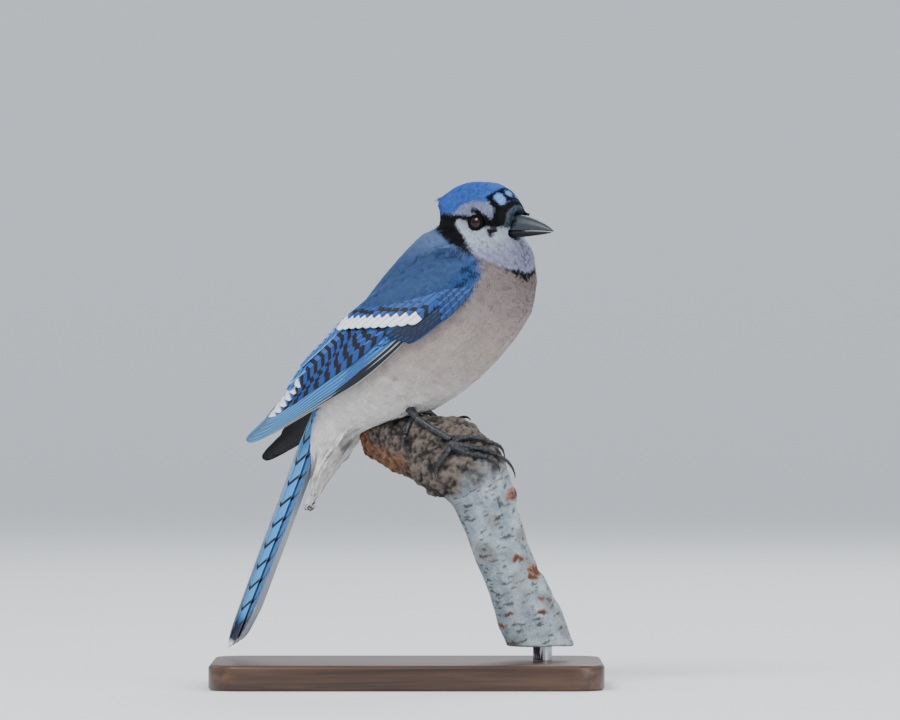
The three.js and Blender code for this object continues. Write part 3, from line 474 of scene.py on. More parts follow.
BROW = [(-14, 0.4), (-11.1, 3.5), (-7.1, 5.2), (-2.6, 5.6), (0.6, 4.7), (2.9, 2.7), (3.4, -0.1),
    (2.8, -2.8), (0.6, -2.6), (-1.3, -1), (-3.5, 0.9), (-5.9, 1.8), (-9.3, 0.7), (-10.7, -1),
    (-13.9, -1)]
CROWN = [(-25.5, 6.2), (-24.2, 12.9), (-12.5, 20.1), (1, 21), (12.7, 18.3), (21.3, 7.5), (20.1, 2.1),
    (18.6, 4.4), (17.2, 8), (15, 10.7), (11.4, 13.1), (7.8, 11.8), (5.5, 9.8), (3.1, 9.2), (0.6, 8),
    (-3.5, 7.5), (-7.1, 5.5), (-11.1, 3.5), (-14, 0.4), (-17, 0.1), (-23.7, 0.1)]
CHEEK_SPOT = [(0.9, -6.8), (5.5, -6.5), (6.1, -8.2), (3.8, -9.7), (2.9, -11.5), (1.4, -11.5),
    (0.6, -8.7)]
TUFT = [(11.2, 1), (13.9, 3.3), (17.2, 3.9), (19, 3.4), (20.4, 0.8), (22.2, -2.4), (18.1, -4.2),
    (17.2, -6.4), (9.4, -6.4), (9.8, -2.4)]
LIGHT = [(-13.4, -2.4), (-5.3, -6), (-1.7, -7.8), (1, -10.5), (9.1, -7.1), (19.9, -8.2), (23.5, -16.8),
    (25.8, -23.5), (27.6, -28.5), (21.7, -29), (16.8, -27.6), (12.3, -26.7), (7.8, -25.8), (1, -22.8),
    (-4.8, -19.7), (-8, -15.9), (-10.2, -10.7), (-12.9, -7.8)]
NECKLACE = [(8.2, -25.6), (12.3, -26.3), (16.8, -27.4), (21.7, -28.6), (28, -27.6), (28, -35.2),
    (23.5, -34.4), (20.4, -32.4), (16.8, -30.2), (12.3, -28.3), (8.2, -26.9)]
FAINT_LINE = [(-6.2, -18.5), (1, -22.2), (8.2, -25.5), (8.2, -27), (1, -24.1), (-6.8, -20.3)]
BLUE_BACK = [(-26.7, 4.6), (-20.6, -7.2), (-15.4, -13.3), (-6.5, -19.4), (-3.4, -22.7), (-3, -28.8),
    (-5.1, -35.8), (-8.8, -41.5), (-15.4, -49), (-24.8, -57), (-37.5, -65), (-51.6, -72.5),
    (-64.8, -80), (-70.4, -84.3), (-73.2, -94.1), (-78.4, -108.2), (-86.8, -134.1), (-133.8, -162.3),
    (-157.3, -40.1), (-72.8, -2.5), (-39.8, 21)]
SHOULDER_PATCH = [(-7.9, -20.3), (-2.7, -23.2), (-2.2, -29.3), (-4.6, -36.8), (-10.2, -43.4), (-21.5, -50),
    (-30.5, -53.2), (-26.7, -42.4), (-19.2, -35.4), (-12.6, -28.8)]
BLACK, CHEEK, THROAT, BROW_GREY = rgb("050607"), rgb("9aa5b0"), rgb("7d7e98"), rgb("6e748e")
CROWN_BLUE, CROWN_FRONT, SPOT_BLUE = rgb("2f529a"), rgb("3963aa"), rgb("6b93d0")
NAPE, MANTLE, MANTLE_LOW, RUMP = rgb("55688f"), rgb("32486e"), rgb("294268"), rgb("3a7abc")
SHOULDER_BLUE, BREAST, BELLY, VENT = rgb("22467a"), rgb("706564"), rgb("9d918c"), rgb("d6d3d1")
TUFT_SLATE, SPOT_BROWN = rgb("1e262e"), rgb("1a1313")
# A point on the slanted line between throat and breast, as x and z, and that line's slant
NECK_AT, NECK_SLANT, NECK_SCALE = (14.2, 221.8), 0.92, 1.36


def share_in(a, b, outline, soft=0.35, grow=0.0):
    """How far inside an outline each point lies, from 0 to 1 across a soft edge, after growing it in mm."""
    corners = np.array(outline, float)
    nearest = np.full(len(a), 1e9)
    inside = np.zeros(len(a), bool)
    for (x0, y0), (x1, y1) in zip(corners, np.roll(corners, -1, axis=0)):
        run = np.array([x1 - x0, y1 - y0])
        t = np.clip(((a - x0) * run[0] + (b - y0) * run[1]) / (run @ run), 0, 1)
        nearest = np.minimum(nearest, np.hypot(a - x0 - t * run[0], b - y0 - t * run[1]))
        crosses = (y0 > b) != (y1 > b)
        inside ^= crosses & (a < x0 + (b - y0) * run[0] / (run[1] if run[1] else 1e-9))
    return smooth_step(-soft, soft, np.where(inside, nearest, -nearest) + grow)


def head_share(p):
    """1 on the head and throat, 0 on the body, along the necklace's slant."""
    over_line = (p[:, 2] - NECK_AT[1]) + NECK_SLANT * (p[:, 0] - NECK_AT[0])
    return smooth_step(-6, 4, over_line / NECK_SCALE)


def seen_from_side(p):
    """Places across and up, in mm from the skull's middle, of points in the bird's frame.

    The third value is the place across as the body alone has it, with no share of the head's turn.
    """
    h = bird_to_head(p)
    yaw_body, yaw_head = math.radians(BODY_YAW), math.radians(HEAD_YAW)
    middle = bird_to_world(HEAD_AT[None])[0, 0]
    body = BODY_X + p[:, 0] * math.cos(yaw_body) - np.abs(p[:, 1]) * math.sin(yaw_body) - middle
    head = h[:, 0] * math.cos(yaw_head) - np.abs(h[:, 1]) * math.sin(yaw_head)
    share = head_share(p)
    return body + (head - body) * share, p[:, 2] - HEAD_AT[2], body


def plumage(world_points):
    """Linear colour of the coat at points in mm."""
    p = world_to_bird(world_points)
    soft = cloud(world_points, 6, 21) - 0.5
    fine = cloud(world_points, 1.5, 22) - 0.5
    a, b, body_a = seen_from_side(p)
    a, b = a + 0.7 * fine, b + 0.7 * soft
    z = p[:, 2]
    level = np.clip((z - 110) / 85, 0, 1)
    below = blend(VENT, BELLY, smooth_step(0.12, 0.5, level + 0.1 * soft))
    below = blend(below, BREAST, smooth_step(0.45, 0.95, level + 0.12 * soft))
    back = blend(MANTLE_LOW, MANTLE, smooth_step(150, 185, z))
    back = blend(back, NAPE, smooth_step(196, 214, z + 3 * soft))
    back = blend(RUMP, back, smooth_step(128, 146, z))
    # The blue ends higher behind, so that none shows under the wing
    tuck = 4 * smooth_step(-32, -46, b)
    colours = blend(below, back, share_in(body_a + tuck, b - tuck, BLUE_BACK, 1.2))
    face = blend(CHEEK, BROW_GREY, smooth_step(-5, -2, b))
    face = blend(face, CROWN_BLUE, smooth_step(4.5, 6.5, b))
    colours = blend(colours, face, head_share(p) * smooth_step(-25, -19, b))
    shoulder = share_in(body_a, b, SHOULDER_PATCH, 2.0)
    colours = blend(colours, SHOULDER_BLUE, 0.7 * shoulder)
    ripple = np.sin(1.15 * b - 0.8 * a) * 0.4 + fine
    colours = blend(colours, BLACK, 0.7 * shoulder * smooth_step(0.12, 0.3, ripple))
    light = blend(THROAT, CHEEK, smooth_step(-21, -11, b - 0.25 * a))
    light = blend(light, BROW_GREY, 0.35 * smooth_step(0.1, 0.35, fine))
    colours = blend(colours, light, share_in(a, b, LIGHT, 0.8))
    faint = 0.45 * share_in(a, b, FAINT_LINE, 0.8) * smooth_step(-0.1, 0.2, fine)
    colours = blend(colours, BLACK, faint)
    colours = blend(colours, BLACK, share_in(a + 2 * fine, b + 2 * fine, NECKLACE, 0.6))
    uneven = (1 + 0.5 * fine)[:, None]
    crown = blend(CROWN_BLUE, CROWN_FRONT, smooth_step(-6, 10, a)) * uneven
    patches = [(CROWN, crown, 0.5, 0), (BROW, BROW_GREY * uneven, 0.4, 0), (BAND, BLACK, 0.6, 0),
               (EYE_LINE, BLACK, 0.3, 0.5), (BROW_LINE, BLACK, 0.3, 0.5), (EYE_RIM, BLACK, 0.3, 0.5),
               (CHEEK_SPOT, SPOT_BROWN, 0.6, 0), (SPOT_RIM, BLACK, 0.4, 0), (LORE, BLACK, 0.4, 0),
               (SPOT_ONE, SPOT_BLUE, 0.4, 0), (SPOT_TWO, SPOT_BLUE, 0.4, 0), (TUFT, TUFT_SLATE, 0.5, 0)]
    for outline, colour, edge, grow in patches:
        colours = blend(colours, colour, share_in(a, b, outline, edge, grow))
    return colours * (1 + 0.12 * fine)[:, None]


paint(skin, "Plumage", plumage(points_of(skin) / MM))
down = new_material("downy skin", Roughness=0.9, IOR=1.45, Specular_IOR_Level=0.15)
down_paint = node(down, "Attribute", {"attribute_name": "Plumage"}).outputs["Color"]
link(down, down_paint, "Base Color")
placed_piece(skin, "skin", down, "body_feathers", "head", "neck", "torso")

# Small feathers. Keratin barbs in fans over the skin, each a thin closed blade that lies along the body,
# soft and hair-like below, closer above, shortest on the face and longest at the vent.
RANDOM = np.random.default_rng(7)
BLADES = 4
PLACES_TRIED = 110000
BODY_SPACING, HEAD_SPACING = 1.5, 0.85
# Lengths in mm: on the body, what belly and vent add, on the head, what the face lacks, what the crest adds
BODY_LENGTH, BELLY_MORE, VENT_MORE, HEAD_LENGTH, FACE_LESS, CREST_MORE = 8.5, 2.5, 7, 5.2, 2.6, 3.5
BODY_WIDTH, HEAD_NARROWER = 1.5, 0.75
EYE_CLEARANCE = 4.9
ROOT_SUNK = 0.25
# Slant and height of the body's long axis in the bird's frame
SPINE_SLANT, SPINE_AT = 0.83, (-5, 166)
# Least agreement of a fan's middle and tip with its root, below which it is folded over an edge
MIDDLE_FOLD, TIP_FOLD = 0.55, 0.4
# Shading normals of feathers rooted below the first height in mm lean this way, and in full below the
# second: up and to the photograph's side, where the key light is, so that the thin white strands are lit
VENT_LEAN, VENT_HEIGHTS = np.array([0, -0.6, 0.7]), (122, 104)
PATCH_SIZE = 0.0015
TREE = BVHTree.FromObject(skin, bpy.context.evaluated_depsgraph_get())


def spacing_of(world_points):
    share = head_share(world_to_bird(world_points))
    return np.where(share > 0.5, HEAD_SPACING, BODY_SPACING)


def scattered(count):
    """Places on the skin in mm with normals, one to each cell of the spacing."""
    mesh = skin.data
    mesh.calc_loop_triangles()
    corners = np.empty(len(mesh.loop_triangles) * 3, int)
    mesh.loop_triangles.foreach_get("vertices", corners)
    corners = corners.reshape(-1, 3)
    points, normals = points_of(skin) / MM, skin_outs
    a, b, c = points[corners[:, 0]], points[corners[:, 1]], points[corners[:, 2]]
    area = np.linalg.norm(np.cross(b - a, c - a), axis=1) / 2
    weight = area / spacing_of((a + b + c) / 3) ** 2
    chosen = RANDOM.choice(len(corners), count, p=weight / weight.sum())
    r1, r2 = np.sqrt(RANDOM.random(count)), RANDOM.random(count)
    share = np.stack([1 - r1, r1 * (1 - r2), r1 * r2], 1)[:, :, None]
    spots = (points[corners[chosen]] * share).sum(1)
    outs = (normals[corners[chosen]] * share).sum(1)
    outs = outs / np.linalg.norm(outs, axis=1, keepdims=True)
    spacing = spacing_of(spots)
    cells = np.column_stack([np.floor(spots / spacing[:, None]), spacing > 1])
    _, kept = np.unique(cells, axis=0, return_index=True)
    return spots[kept], outs[kept]


def lie_of(world_points, outs):
    """The way that feathers point along the surface."""
    p = world_to_bird(world_points)
    h = bird_to_head(p)
    body = blend(np.array([-0.78, 0, -0.62]), np.array([-0.42, 0, -0.9]), smooth_step(150, 122, p[:, 2]))
    chest = smooth_step(165, 195, p[:, 2]) * smooth_step(5, 30, p[:, 0])
    body = blend(body, np.array([-0.12, 0, -0.99]), chest)
    drop = 0.12 + 0.9 * smooth_step(-3, -14, h[:, 2])
    away = np.stack([-np.ones(len(p)), 0.2 * np.sign(h[:, 1]), -drop], 1)
    tuft = (h[:, 0] > 15) & (h[:, 2] > -9)
    away[tuft] = np.array([1, 0, -0.25])
    head = away @ turn(BODY_YAW - HEAD_YAW).T
    flow = blend(body, head, head_share(p)) @ turn(-BODY_YAW).T
    flow = flow - outs * (flow * outs).sum(1)[:, None]
    return flow / np.maximum(np.linalg.norm(flow, axis=1, keepdims=True), 1e-6)


def over_spine(p):
    """Height in mm of points in the bird's frame over the body's long axis."""
    return (p[:, 2] - SPINE_AT[1]) - (p[:, 0] - SPINE_AT[0]) * SPINE_SLANT


def along_spine(p):
    """Distance in mm along the body's long axis."""
    return p[:, 0] * 0.55 + p[:, 2] * SPINE_SLANT


def unwrapped(p):
    """A place on the skin's own unwrap: round the body and along it."""
    round_share = np.arctan2(p[:, 1], over_spine(p)) / (2 * np.pi) + 0.5
    length_share = np.clip((along_spine(p) - 30) / 200, 0, 1)
    return np.stack([round_share, length_share], 1) * 0.94 + 0.03


def on_surface(points, reach):
    """Moves points in mm to the given heights over the skin, with the normal there."""
    found, outs = np.empty_like(points), np.empty_like(points)
    for i, point in enumerate(points):
        place, normal, _, _ = TREE.find_nearest(Vector(point * MM))
        found[i], outs[i] = place, normal
    return found / MM + outs * reach[:, None], outs


def coat_piece(name, roots, outs, lie, length, width, lift, colours, material):
    """Fans of closed blades as one object, without those that would fold over a thin edge of the skin.

    Each blade has a sunk root, three points at the middle, and a tip.
    """
    middle, middle_out = on_surface(roots + lie * (length * 0.5)[:, None], 0.4 + 0.45 * lift)
    tips, tip_out = on_surface(roots + lie * length[:, None], 0.25 + lift)
    flat = ((middle_out * outs).sum(1) > MIDDLE_FOLD) & ((tip_out * outs).sum(1) > TIP_FOLD)
    roots, outs, lie, length, width, colours = [
        rows[flat] for rows in (roots, outs, lie, length, width, colours)]
    middle, middle_out, tips, tip_out = [rows[flat] for rows in (middle, middle_out, tips, tip_out)]
    n = len(roots)
    home = unwrapped(world_to_bird(roots))
    side, side_mid, side_tip = np.cross(outs, lie), np.cross(middle_out, lie), np.cross(tip_out, lie)
    left_out, right_out = middle_out - 0.25 * side_mid, middle_out + 0.25 * side_mid
    lean = smooth_step(*VENT_HEIGHTS, roots[:, 2])[:, None] * VENT_LEAN
    blade_outs = np.stack([outs, left_out, right_out, middle_out, tip_out], 1) + lean[:, None]
    half = (width * 0.2)[:, None]
    points, tints, uvs, shades = [], [], [], []
    for j in range(BLADES):
        share = (j / (BLADES - 1)) * 2 - 1
        stray = RANDOM.normal(0, 0.12, n)
        spread = (share * width)[:, None]
        root = roots + side * spread * 0.5 - outs * ROOT_SUNK
        mid = middle + side_mid * (spread * 0.85 + (stray * width * 0.3)[:, None])
        back_off = (0.12 * share ** 2 + 0.2 * RANDOM.random(n)) * length
        tip = tips + side_tip * (spread + (stray * width)[:, None]) - lie * back_off[:, None]
        left_edge, right_edge = mid - side_mid * half, mid + side_mid * half
        points.append(np.stack([root, left_edge, right_edge, mid + middle_out * 0.1, tip], 1))
        shades.append(blade_outs)
        lit = colours * (0.94 + 0.14 * RANDOM.random(n))[:, None]
        # Each blade is painted darker at its sunk root, as painted shade under the feathers that lie over
        # it, and a little lighter at its tip, as a painted highlight
        tints.append(np.stack([colours * 0.85, lit, lit, lit, lit * 1.06], 1))
        local = np.array([[0, 0], [-0.3, 0.5], [0.3, 0.5], [0, 0.55], [0, 1]]) * PATCH_SIZE
        uvs.append(home[:, None, :] + local[None] + np.array([share * 0.001, 0]))
    points, tints, uvs, shades = [
        np.stack(rows, 1).reshape(-1, rows[0].shape[-1]) for rows in (points, tints, uvs, shades)]
    pattern = np.array([[0, 1, 3], [0, 3, 2], [0, 2, 1], [4, 3, 1], [4, 2, 3], [4, 1, 2]])
    faces = (pattern[None] + (np.arange(n * BLADES) * 5)[:, None, None]).reshape(-1, 3)
    mesh = bpy.data.meshes.new(name)
    mesh.vertices.add(len(points))
    mesh.vertices.foreach_set("co", (points * MM).ravel())
    mesh.loops.add(len(faces) * 3)
    mesh.loops.foreach_set("vertex_index", faces.ravel().astype(np.int32))
    mesh.polygons.add(len(faces))
    mesh.polygons.foreach_set("loop_start", np.arange(0, len(faces) * 3, 3, dtype=np.int32))
    mesh.polygons.foreach_set("use_smooth", np.ones(len(faces), bool))
    mesh.update()
    shades = shades / np.linalg.norm(shades, axis=1, keepdims=True)
    mesh.normals_split_custom_set_from_vertices(shades)
    obj = bpy.data.objects.new(name, mesh)
    bpy.context.scene.collection.objects.link(obj)
    paint(obj, "Plumage", tints)
    layer = mesh.uv_layers.new(name="OFBake")
    layer.data.foreach_set("uv", uvs[faces.ravel()].ravel())
    placed_piece(obj, name, material, "body_feathers")


barbs = new_material("soft feather barbs", Roughness=0.85, IOR=1.5, Specular_IOR_Level=0.15)
barbs_paint = node(barbs, "Attribute", {"attribute_name": "Plumage"}).outputs["Color"]
link(barbs, barbs_paint, "Base Color")

roots, outs = scattered(PLACES_TRIED)
bird_roots = world_to_bird(roots)
head_roots = bird_to_head(bird_roots)
lie = lie_of(roots, outs)
is_head = head_share(bird_roots)
belly_share = smooth_step(4, -6, over_spine(bird_roots) * 0.77)
vent_share = smooth_step(132, 114, bird_roots[:, 2]) * belly_share
face_share = is_head * smooth_step(-8, 4, head_roots[:, 0]) * smooth_step(-17, -10, head_roots[:, 2])
crest_share = is_head * smooth_step(5, 9, head_roots[:, 2]) * smooth_step(0, -10, head_roots[:, 0])
length = BODY_LENGTH + BELLY_MORE * belly_share + VENT_MORE * vent_share
length = length + (HEAD_LENGTH - length) * is_head - FACE_LESS * face_share + CREST_MORE * crest_share
length = length * (0.85 + 0.3 * RANDOM.random(len(roots)))
width = BODY_WIDTH - HEAD_NARROWER * is_head
lift = 0.05 + 0.3 * belly_share * RANDOM.random(len(roots)) + 0.6 * vent_share
# The colour is that of the place which a feather's outer half covers
coat_colours = plumage(roots + lie * (0.6 * length)[:, None])
coat_colours = coat_colours * (0.9 + 0.2 * RANDOM.random(len(roots)))[:, None]
throat_share = is_head * smooth_step(-8, -14, head_roots[:, 2])
# The dark fans of the tuft over the nostrils get a random brightness from half to four and a half times
# their colour; the lighter ones are painted highlights on the bristles
tuft_glint_share = is_head * smooth_step(14, 15.5, head_roots[:, 0]) * (coat_colours.sum(1) < 0.12)
coat_colours = coat_colours * (1 + tuft_glint_share * (4 * RANDOM.random(len(roots)) - 0.5))[:, None]
dusky = 0.4 * throat_share + 0.14 * belly_share * (1 - vent_share) * (1 - is_head)
coat_colours = coat_colours * (1 - dusky * (RANDOM.random(len(roots)) > 0.75))[:, None]
in_bill = (head_roots[:, 0] > 17) & (np.abs(head_roots[:, 1]) < 4.6) & (np.abs(head_roots[:, 2] + 6) < 4.5)
eyes_at = [np.array(sum(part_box(name), Vector()) / 2) / MM for name in ("eye_right", "eye_left")]
clear_of_eyes = np.all([np.linalg.norm(roots - eye, axis=1) > EYE_CLEARANCE for eye in eyes_at], axis=0)
order = along_spine(bird_roots)
COAT_PARTS = [("head", 200, 400), ("nape", 187, 200), ("neck", 166, 187), ("breast", 140, 166),
              ("belly", 110, 140), ("vent", -100, 110)]
for part, low, high in COAT_PARTS:
    mask = (order > low) & (order <= high) & ~in_bill & clear_of_eyes
    for side, half in (("right", bird_roots[:, 1] <= 0), ("left", bird_roots[:, 1] > 0)):
        rows = [values[mask & half] for values in (roots, outs, lie, length, width, lift, coat_colours)]
        coat_piece(f"coat_{part}_{side}", *rows, barbs)

# Flight feathers and coverts. Stiff keratin vanes with a shaft, closed top and underside, laid on the
# folded wing in tiers: primaries lowest, then secondaries, primary coverts, greater coverts and alula.
BARB_GAP = 0.45  # mm from one to the next, coarser than real so that they show
BARB_SLANT, BARB_BUMP = 0.22, 0.12 * MM
BAR_SOFTNESS, BAR_COLOUR = 0.12, "0b0c12"
OPERATIONS = ("MULTIPLY", "ADD", "SUBTRACT", "MULTIPLY_ADD", "SINE", "ABSOLUTE", "GREATER_THAN")
MULTIPLY, ADD, SUBTRACT, MULTIPLY_ADD, SINE, ABSOLUTE, ABOVE = [{"operation": name} for name in OPERATIONS]
COLOUR, SMOOTH = {"data_type": "RGBA"}, {"interpolation_type": "SMOOTHSTEP"}


def vane_width(t, tip):
    """Half width along a vane as a share of its widest."""
    root = 0.45 + 0.55 * smooth_step(0, 0.35, t)
    end = np.sqrt(np.clip(1 - np.clip((t - (1 - tip)) / tip, 0, 1) ** 2.2, 0, 1))
    return root * np.maximum(end, 0.02)


def feather_grid(place, half, tip=0.14, steps=44, across=8, camber=0.5, thick=0.34):
    """Closed feather along place(t), of a half width, camber and thickness in mm.

    Returns its points, faces, which faces are on top, and each point's t along and v across it.
    """
    t = 1 - (1 - np.linspace(0, 1, steps + 1)) ** 1.15
    points, out = place(t)
    way = np.gradient(points, axis=0)
    way = way / np.linalg.norm(way, axis=1, keepdims=True)
    side = np.cross(way, out)
    side = side / np.linalg.norm(side, axis=1, keepdims=True)
    v = np.linspace(-1, 1, across + 1)
    w = vane_width(t, tip) * half
    arch = camber * (1 - v ** 2)
    spread = side[:, None] * (v[None, :] * w[:, None])[..., None]
    top = points[:, None] + spread + out[:, None] * arch[None, :, None]
    edge = thick * (0.25 + 0.75 * (1 - v ** 4))
    low = top - out[:, None] * edge[None, :, None]
    grid = np.concatenate([top.reshape(-1, 3), low.reshape(-1, 3)])
    m = across + 1
    shift = (steps + 1) * m
    starts = [i * m + j for i in range(steps) for j in range(across)]
    faces = [(a, a + 1, a + m + 1, a + m) for a in starts]
    faces += [(a + shift, a + m + shift, a + m + 1 + shift, a + 1 + shift) for a in starts]
    for i in range(steps):
        for j in (0, across):
            a, b = i * m + j, (i + 1) * m + j
            faces.append((a, b, b + shift, a + shift) if j == 0 else (b, a, a + shift, b + shift))
    for j in range(across):
        faces.append((j + 1, j, j + shift, j + 1 + shift))
        a = steps * m + j
        faces.append((a, a + 1, a + 1 + shift, a + shift))
    tv = np.stack(np.broadcast_arrays(t[:, None], (v[None, :] + 1) / 2), -1).reshape(-1, 2)
    on_top = np.arange(len(faces)) < len(starts)
    return grid, faces, on_top, np.concatenate([tv, tv])


def feather_set(name, feathers, left, materials, slot, nodes=()):
    """Joins feathers into one object with a Vane map. The last material is that of the undersides."""
    points, faces, tv, numbers, phases = [], [], [], [], []
    start = 0
    for grid, grid_faces, on_top, grid_tv, material_number in feathers:
        points.append(grid)
        tv.append(grid_tv)
        faces += [tuple(start + k for k in face) for face in grid_faces]
        numbers += np.where(on_top, material_number, len(materials) - 1).tolist()
        phases.append(np.full(len(grid), RANDOM.random()))
        start += len(grid)
    points, tv = np.concatenate(points), np.concatenate(tv)
    if left:
        points = to_left(points)
        faces = [face[::-1] for face in faces]
    obj = mesh_object(name, points, faces)
    mesh = obj.data
    mesh.polygons.foreach_set("material_index", numbers)
    mesh.polygons.foreach_set("use_smooth", np.ones(len(mesh.polygons), bool))
    corner = np.empty(len(mesh.loops), int)
    mesh.loops.foreach_get("vertex_index", corner)
    mesh.uv_layers.new(name="Vane").data.foreach_set("uv", tv[corner].ravel())
    phase = mesh.attributes.new("Phase", "FLOAT", "POINT")
    phase.data.foreach_set("value", np.concatenate(phases))
    for material in materials:
        mesh.materials.append(material)
    placed_piece(obj, name, None, slot, *nodes)
    turned_outwards(obj)


def vane_material(name, outer, inner, length_mm=60, roughness=0.5, line="15161a", bars=0, bar_width=0.3,
                  bar_from=0.0, bar_share=1.0, bar_slant=-0.22, jitter=0.075, dusk=None, edge=None,
                  tip=None, tip_from=0.9):
    """Feather vane: one colour each side of the shaft, cross bars, a pale tip and slanted barbs.

    dusk is where along the vane it begins and is full, and its colour. edge, tip and line are colours.
    """
    material = new_material(name, Roughness=roughness, IOR=1.55, Specular_IOR_Level=0.3)

    def made(kind, settings, *values, out=0, **inputs):
        return node(material, kind, settings, *values, **inputs).outputs[out]

    split = node(material, "SeparateXYZ", None, made("UVMap", {"uv_map": "Vane"}))
    t, v = split.outputs[0], split.outputs[1]
    off_shaft = made("Math", ABSOLUTE, made("Math", SUBTRACT, v, 0.5))
    slanted = made("Math", ADD, t, made("Math", MULTIPLY, off_shaft, BARB_SLANT))
    barb = made("Math", SINE, made("Math", MULTIPLY, slanted, length_mm / BARB_GAP * 2 * math.pi))
    layers = []
    if bars:
        phase = made("Attribute", {"attribute_name": "Phase"}, out="Fac")
        lean = made("Math", MULTIPLY_ADD, off_shaft, bar_slant, t)
        shifted = made("Math", MULTIPLY_ADD, phase, jitter, lean)
        wave = made("Math", SINE, made("Math", MULTIPLY, shifted, bars * 2 * math.pi))
        crest = math.cos(bar_width * math.pi)
        bar = made("MapRange", SMOOTH, wave, crest - BAR_SOFTNESS, crest + BAR_SOFTNESS)
        bar = made("Math", MULTIPLY, bar, made("MapRange", SMOOTH, t, bar_from, bar_from + 0.05))
        layers.append((made("Math", MULTIPLY, bar, bar_share), BAR_COLOUR))
    if dusk:
        layers.append((made("MapRange", SMOOTH, t, dusk[0], dusk[1]), dusk[2]))
    if edge:
        rim = made("MapRange", SMOOTH, off_shaft, 0.36, 0.46)
        layers.append((made("Math", MULTIPLY, rim, 0.6), edge))
    if tip:
        ragged = made("Math", ADD, t, made("Math", MULTIPLY, barb, 0.004))
        layers.append((made("MapRange", SMOOTH, ragged, tip_from, tip_from + 0.02), tip))
    shaft = made("MapRange", SMOOTH, off_shaft, 0.035, 0.015)
    layers.append((made("Math", MULTIPLY, shaft, 0.75), line))
    outer_web = made("Math", ABOVE, v, 0.5)
    colour = made("Mix", COLOUR, outer_web, i6=linear(inner), i7=linear(outer), out=2)
    for share, layer in layers:
        colour = made("Mix", COLOUR, share, i6=colour, i7=linear(layer), out=2)
    streak = made("Math", MULTIPLY_ADD, barb, 0.09, 0.95)
    shade = made("Mix", {**COLOUR, "blend_type": "MULTIPLY"}, 1.0, i6=colour, i7=streak, out=2)
    link(material, shade, "Base Color")
    bump = made("Bump", None, Height=barb, Strength=0.25, Distance=BARB_BUMP)
    link(material, bump, "Normal")
    return material


WING_MATERIALS = [
    vane_material("primary vane", "3f8fd6", "2a5a9a", 75, line="10203c", edge="5cb0ea",
                  dusk=(0.5, 0.95, "4a6a8c")),
    vane_material("outer primary vane", "8d969f", "15171b", 75, line="0c0d10", edge="c9ced2"),
    vane_material("secondary vane", "2457a8", "1a4288", 65, bars=11, bar_width=0.48, bar_slant=-0.07,
                  tip="eef3f6", tip_from=0.93),
    vane_material("tertial vane", "58aeea", "2a62b8", 65, bars=11, bar_width=0.24, edge="86d0f8"),
    vane_material("greater covert vane", "1a4f98", "164282", 30, bars=5, bar_width=0.45, bar_from=0.45,
                  tip="f4f8fa", tip_from=0.76),
    vane_material("primary covert vane", "1d4278", "10203c", 30, bars=8, bar_width=0.26, bar_share=0.7,
                  edge="2460a8"),
    vane_material("alula vane", "1a4c90", "14366c", 18, bars=5, bar_width=0.26, bar_share=0.6),
    vane_material("vane underside", "161618", "101012", 65, roughness=0.7, line="2a2a2e")]
PRIMARY, OUTER_PRIMARY, SECONDARY, TERTIAL, GREATER_COVERT, PRIMARY_COVERT, ALULA = range(7)
PRIMARIES, OUTER_PRIMARIES, SECONDARIES, TERTIALS = 9, 2, 6, 3
PRIMARY_COVERTS, GREATER_COVERTS, ALULA_FEATHERS = 6, 10, 4


def mix(a, b, t):
    return a + (b - a) * t


def on_wing(start, end, lifts):
    """Places a feather from one spot of the wing to another, with lifts at both ends."""
    def place(t):
        return wing_spot(mix(start[0], end[0], t), mix(start[1], end[1], t), mix(*lifts, t))
    return place


def wing_feathers():
    """Tiers of one wing from the lowest up, as in the CAD wing but finer.

    Each feather runs from one spot to another, in stations and degrees, with a lift in mm at both.
    """
    feathers = []

    def lay(material, start, end, lifts, half, **shape):
        feathers.append((*feather_grid(on_wing(start, end, lifts), half, **shape), material))

    for i in range(PRIMARIES):
        t = i / (PRIMARIES - 1)
        reach = mix(7.35, 7.1, t) + 0.75 * math.sin(math.pi * min(t * 1.1 + 0.1, 1))
        lay(OUTER_PRIMARY if i < OUTER_PRIMARIES else PRIMARY, (2.3 + 0.5 * t, mix(-3, 22, t)),
            (reach, mix(-2, 27, t)), (mix(-0.3, 0.6, t), mix(0.1, 1.7, t)), mix(2.8, 4.0, t),
            tip=0.16, camber=0.45, thick=0.3)
    for i in range(SECONDARIES + TERTIALS):
        t = i / (SECONDARIES + TERTIALS - 1)
        if i < SECONDARIES:
            s = i / (SECONDARIES - 1)
            material, end, root_lift = SECONDARY, (mix(6.95, 5.8, s), mix(27, 38, s)), 1.0
        else:
            s = (i - SECONDARIES) / (TERTIALS - 1)
            material, end, root_lift = TERTIAL, (mix(6.1, 5.5, s), mix(46, 64, s)), -0.8
        lay(material, (2.5 + 0.3 * t, mix(11, 52, t)), end, (root_lift, mix(1.6, 3.0, t)), mix(3.6, 5.4, t),
            tip=0.1, camber=0.6)
    for i in range(PRIMARY_COVERTS):
        t = i / (PRIMARY_COVERTS - 1)
        lay(PRIMARY_COVERT, (0.95 + 0.1 * t, mix(-13, 0, t)), (mix(2.5, 2.75, t), mix(-7, 8, t)),
            (mix(0.2, 0.5, t), mix(0.8, 1.9, t)), 2.5, tip=0.3, steps=24)
    for i in range(GREATER_COVERTS):
        t = i / (GREATER_COVERTS - 1)
        lay(GREATER_COVERT, (mix(0.75, 1.9, t), mix(0, 40, t)), (mix(2.15, 3.8, t ** 0.95), mix(3, 46, t)),
            (mix(0.6, 0.8, t), mix(2.4, 3.6, t)), 3.0, tip=0.16, steps=32, camber=0.7)
    for i in range(ALULA_FEATHERS):
        lay(ALULA, (0.45 + 0.05 * i, -13 + 4 * i), (1.55 - 0.1 * i, -13 + 4.5 * i),
            (0.4, 1.3 + 0.25 * i), 2.0, tip=0.3, steps=20)
    return feathers


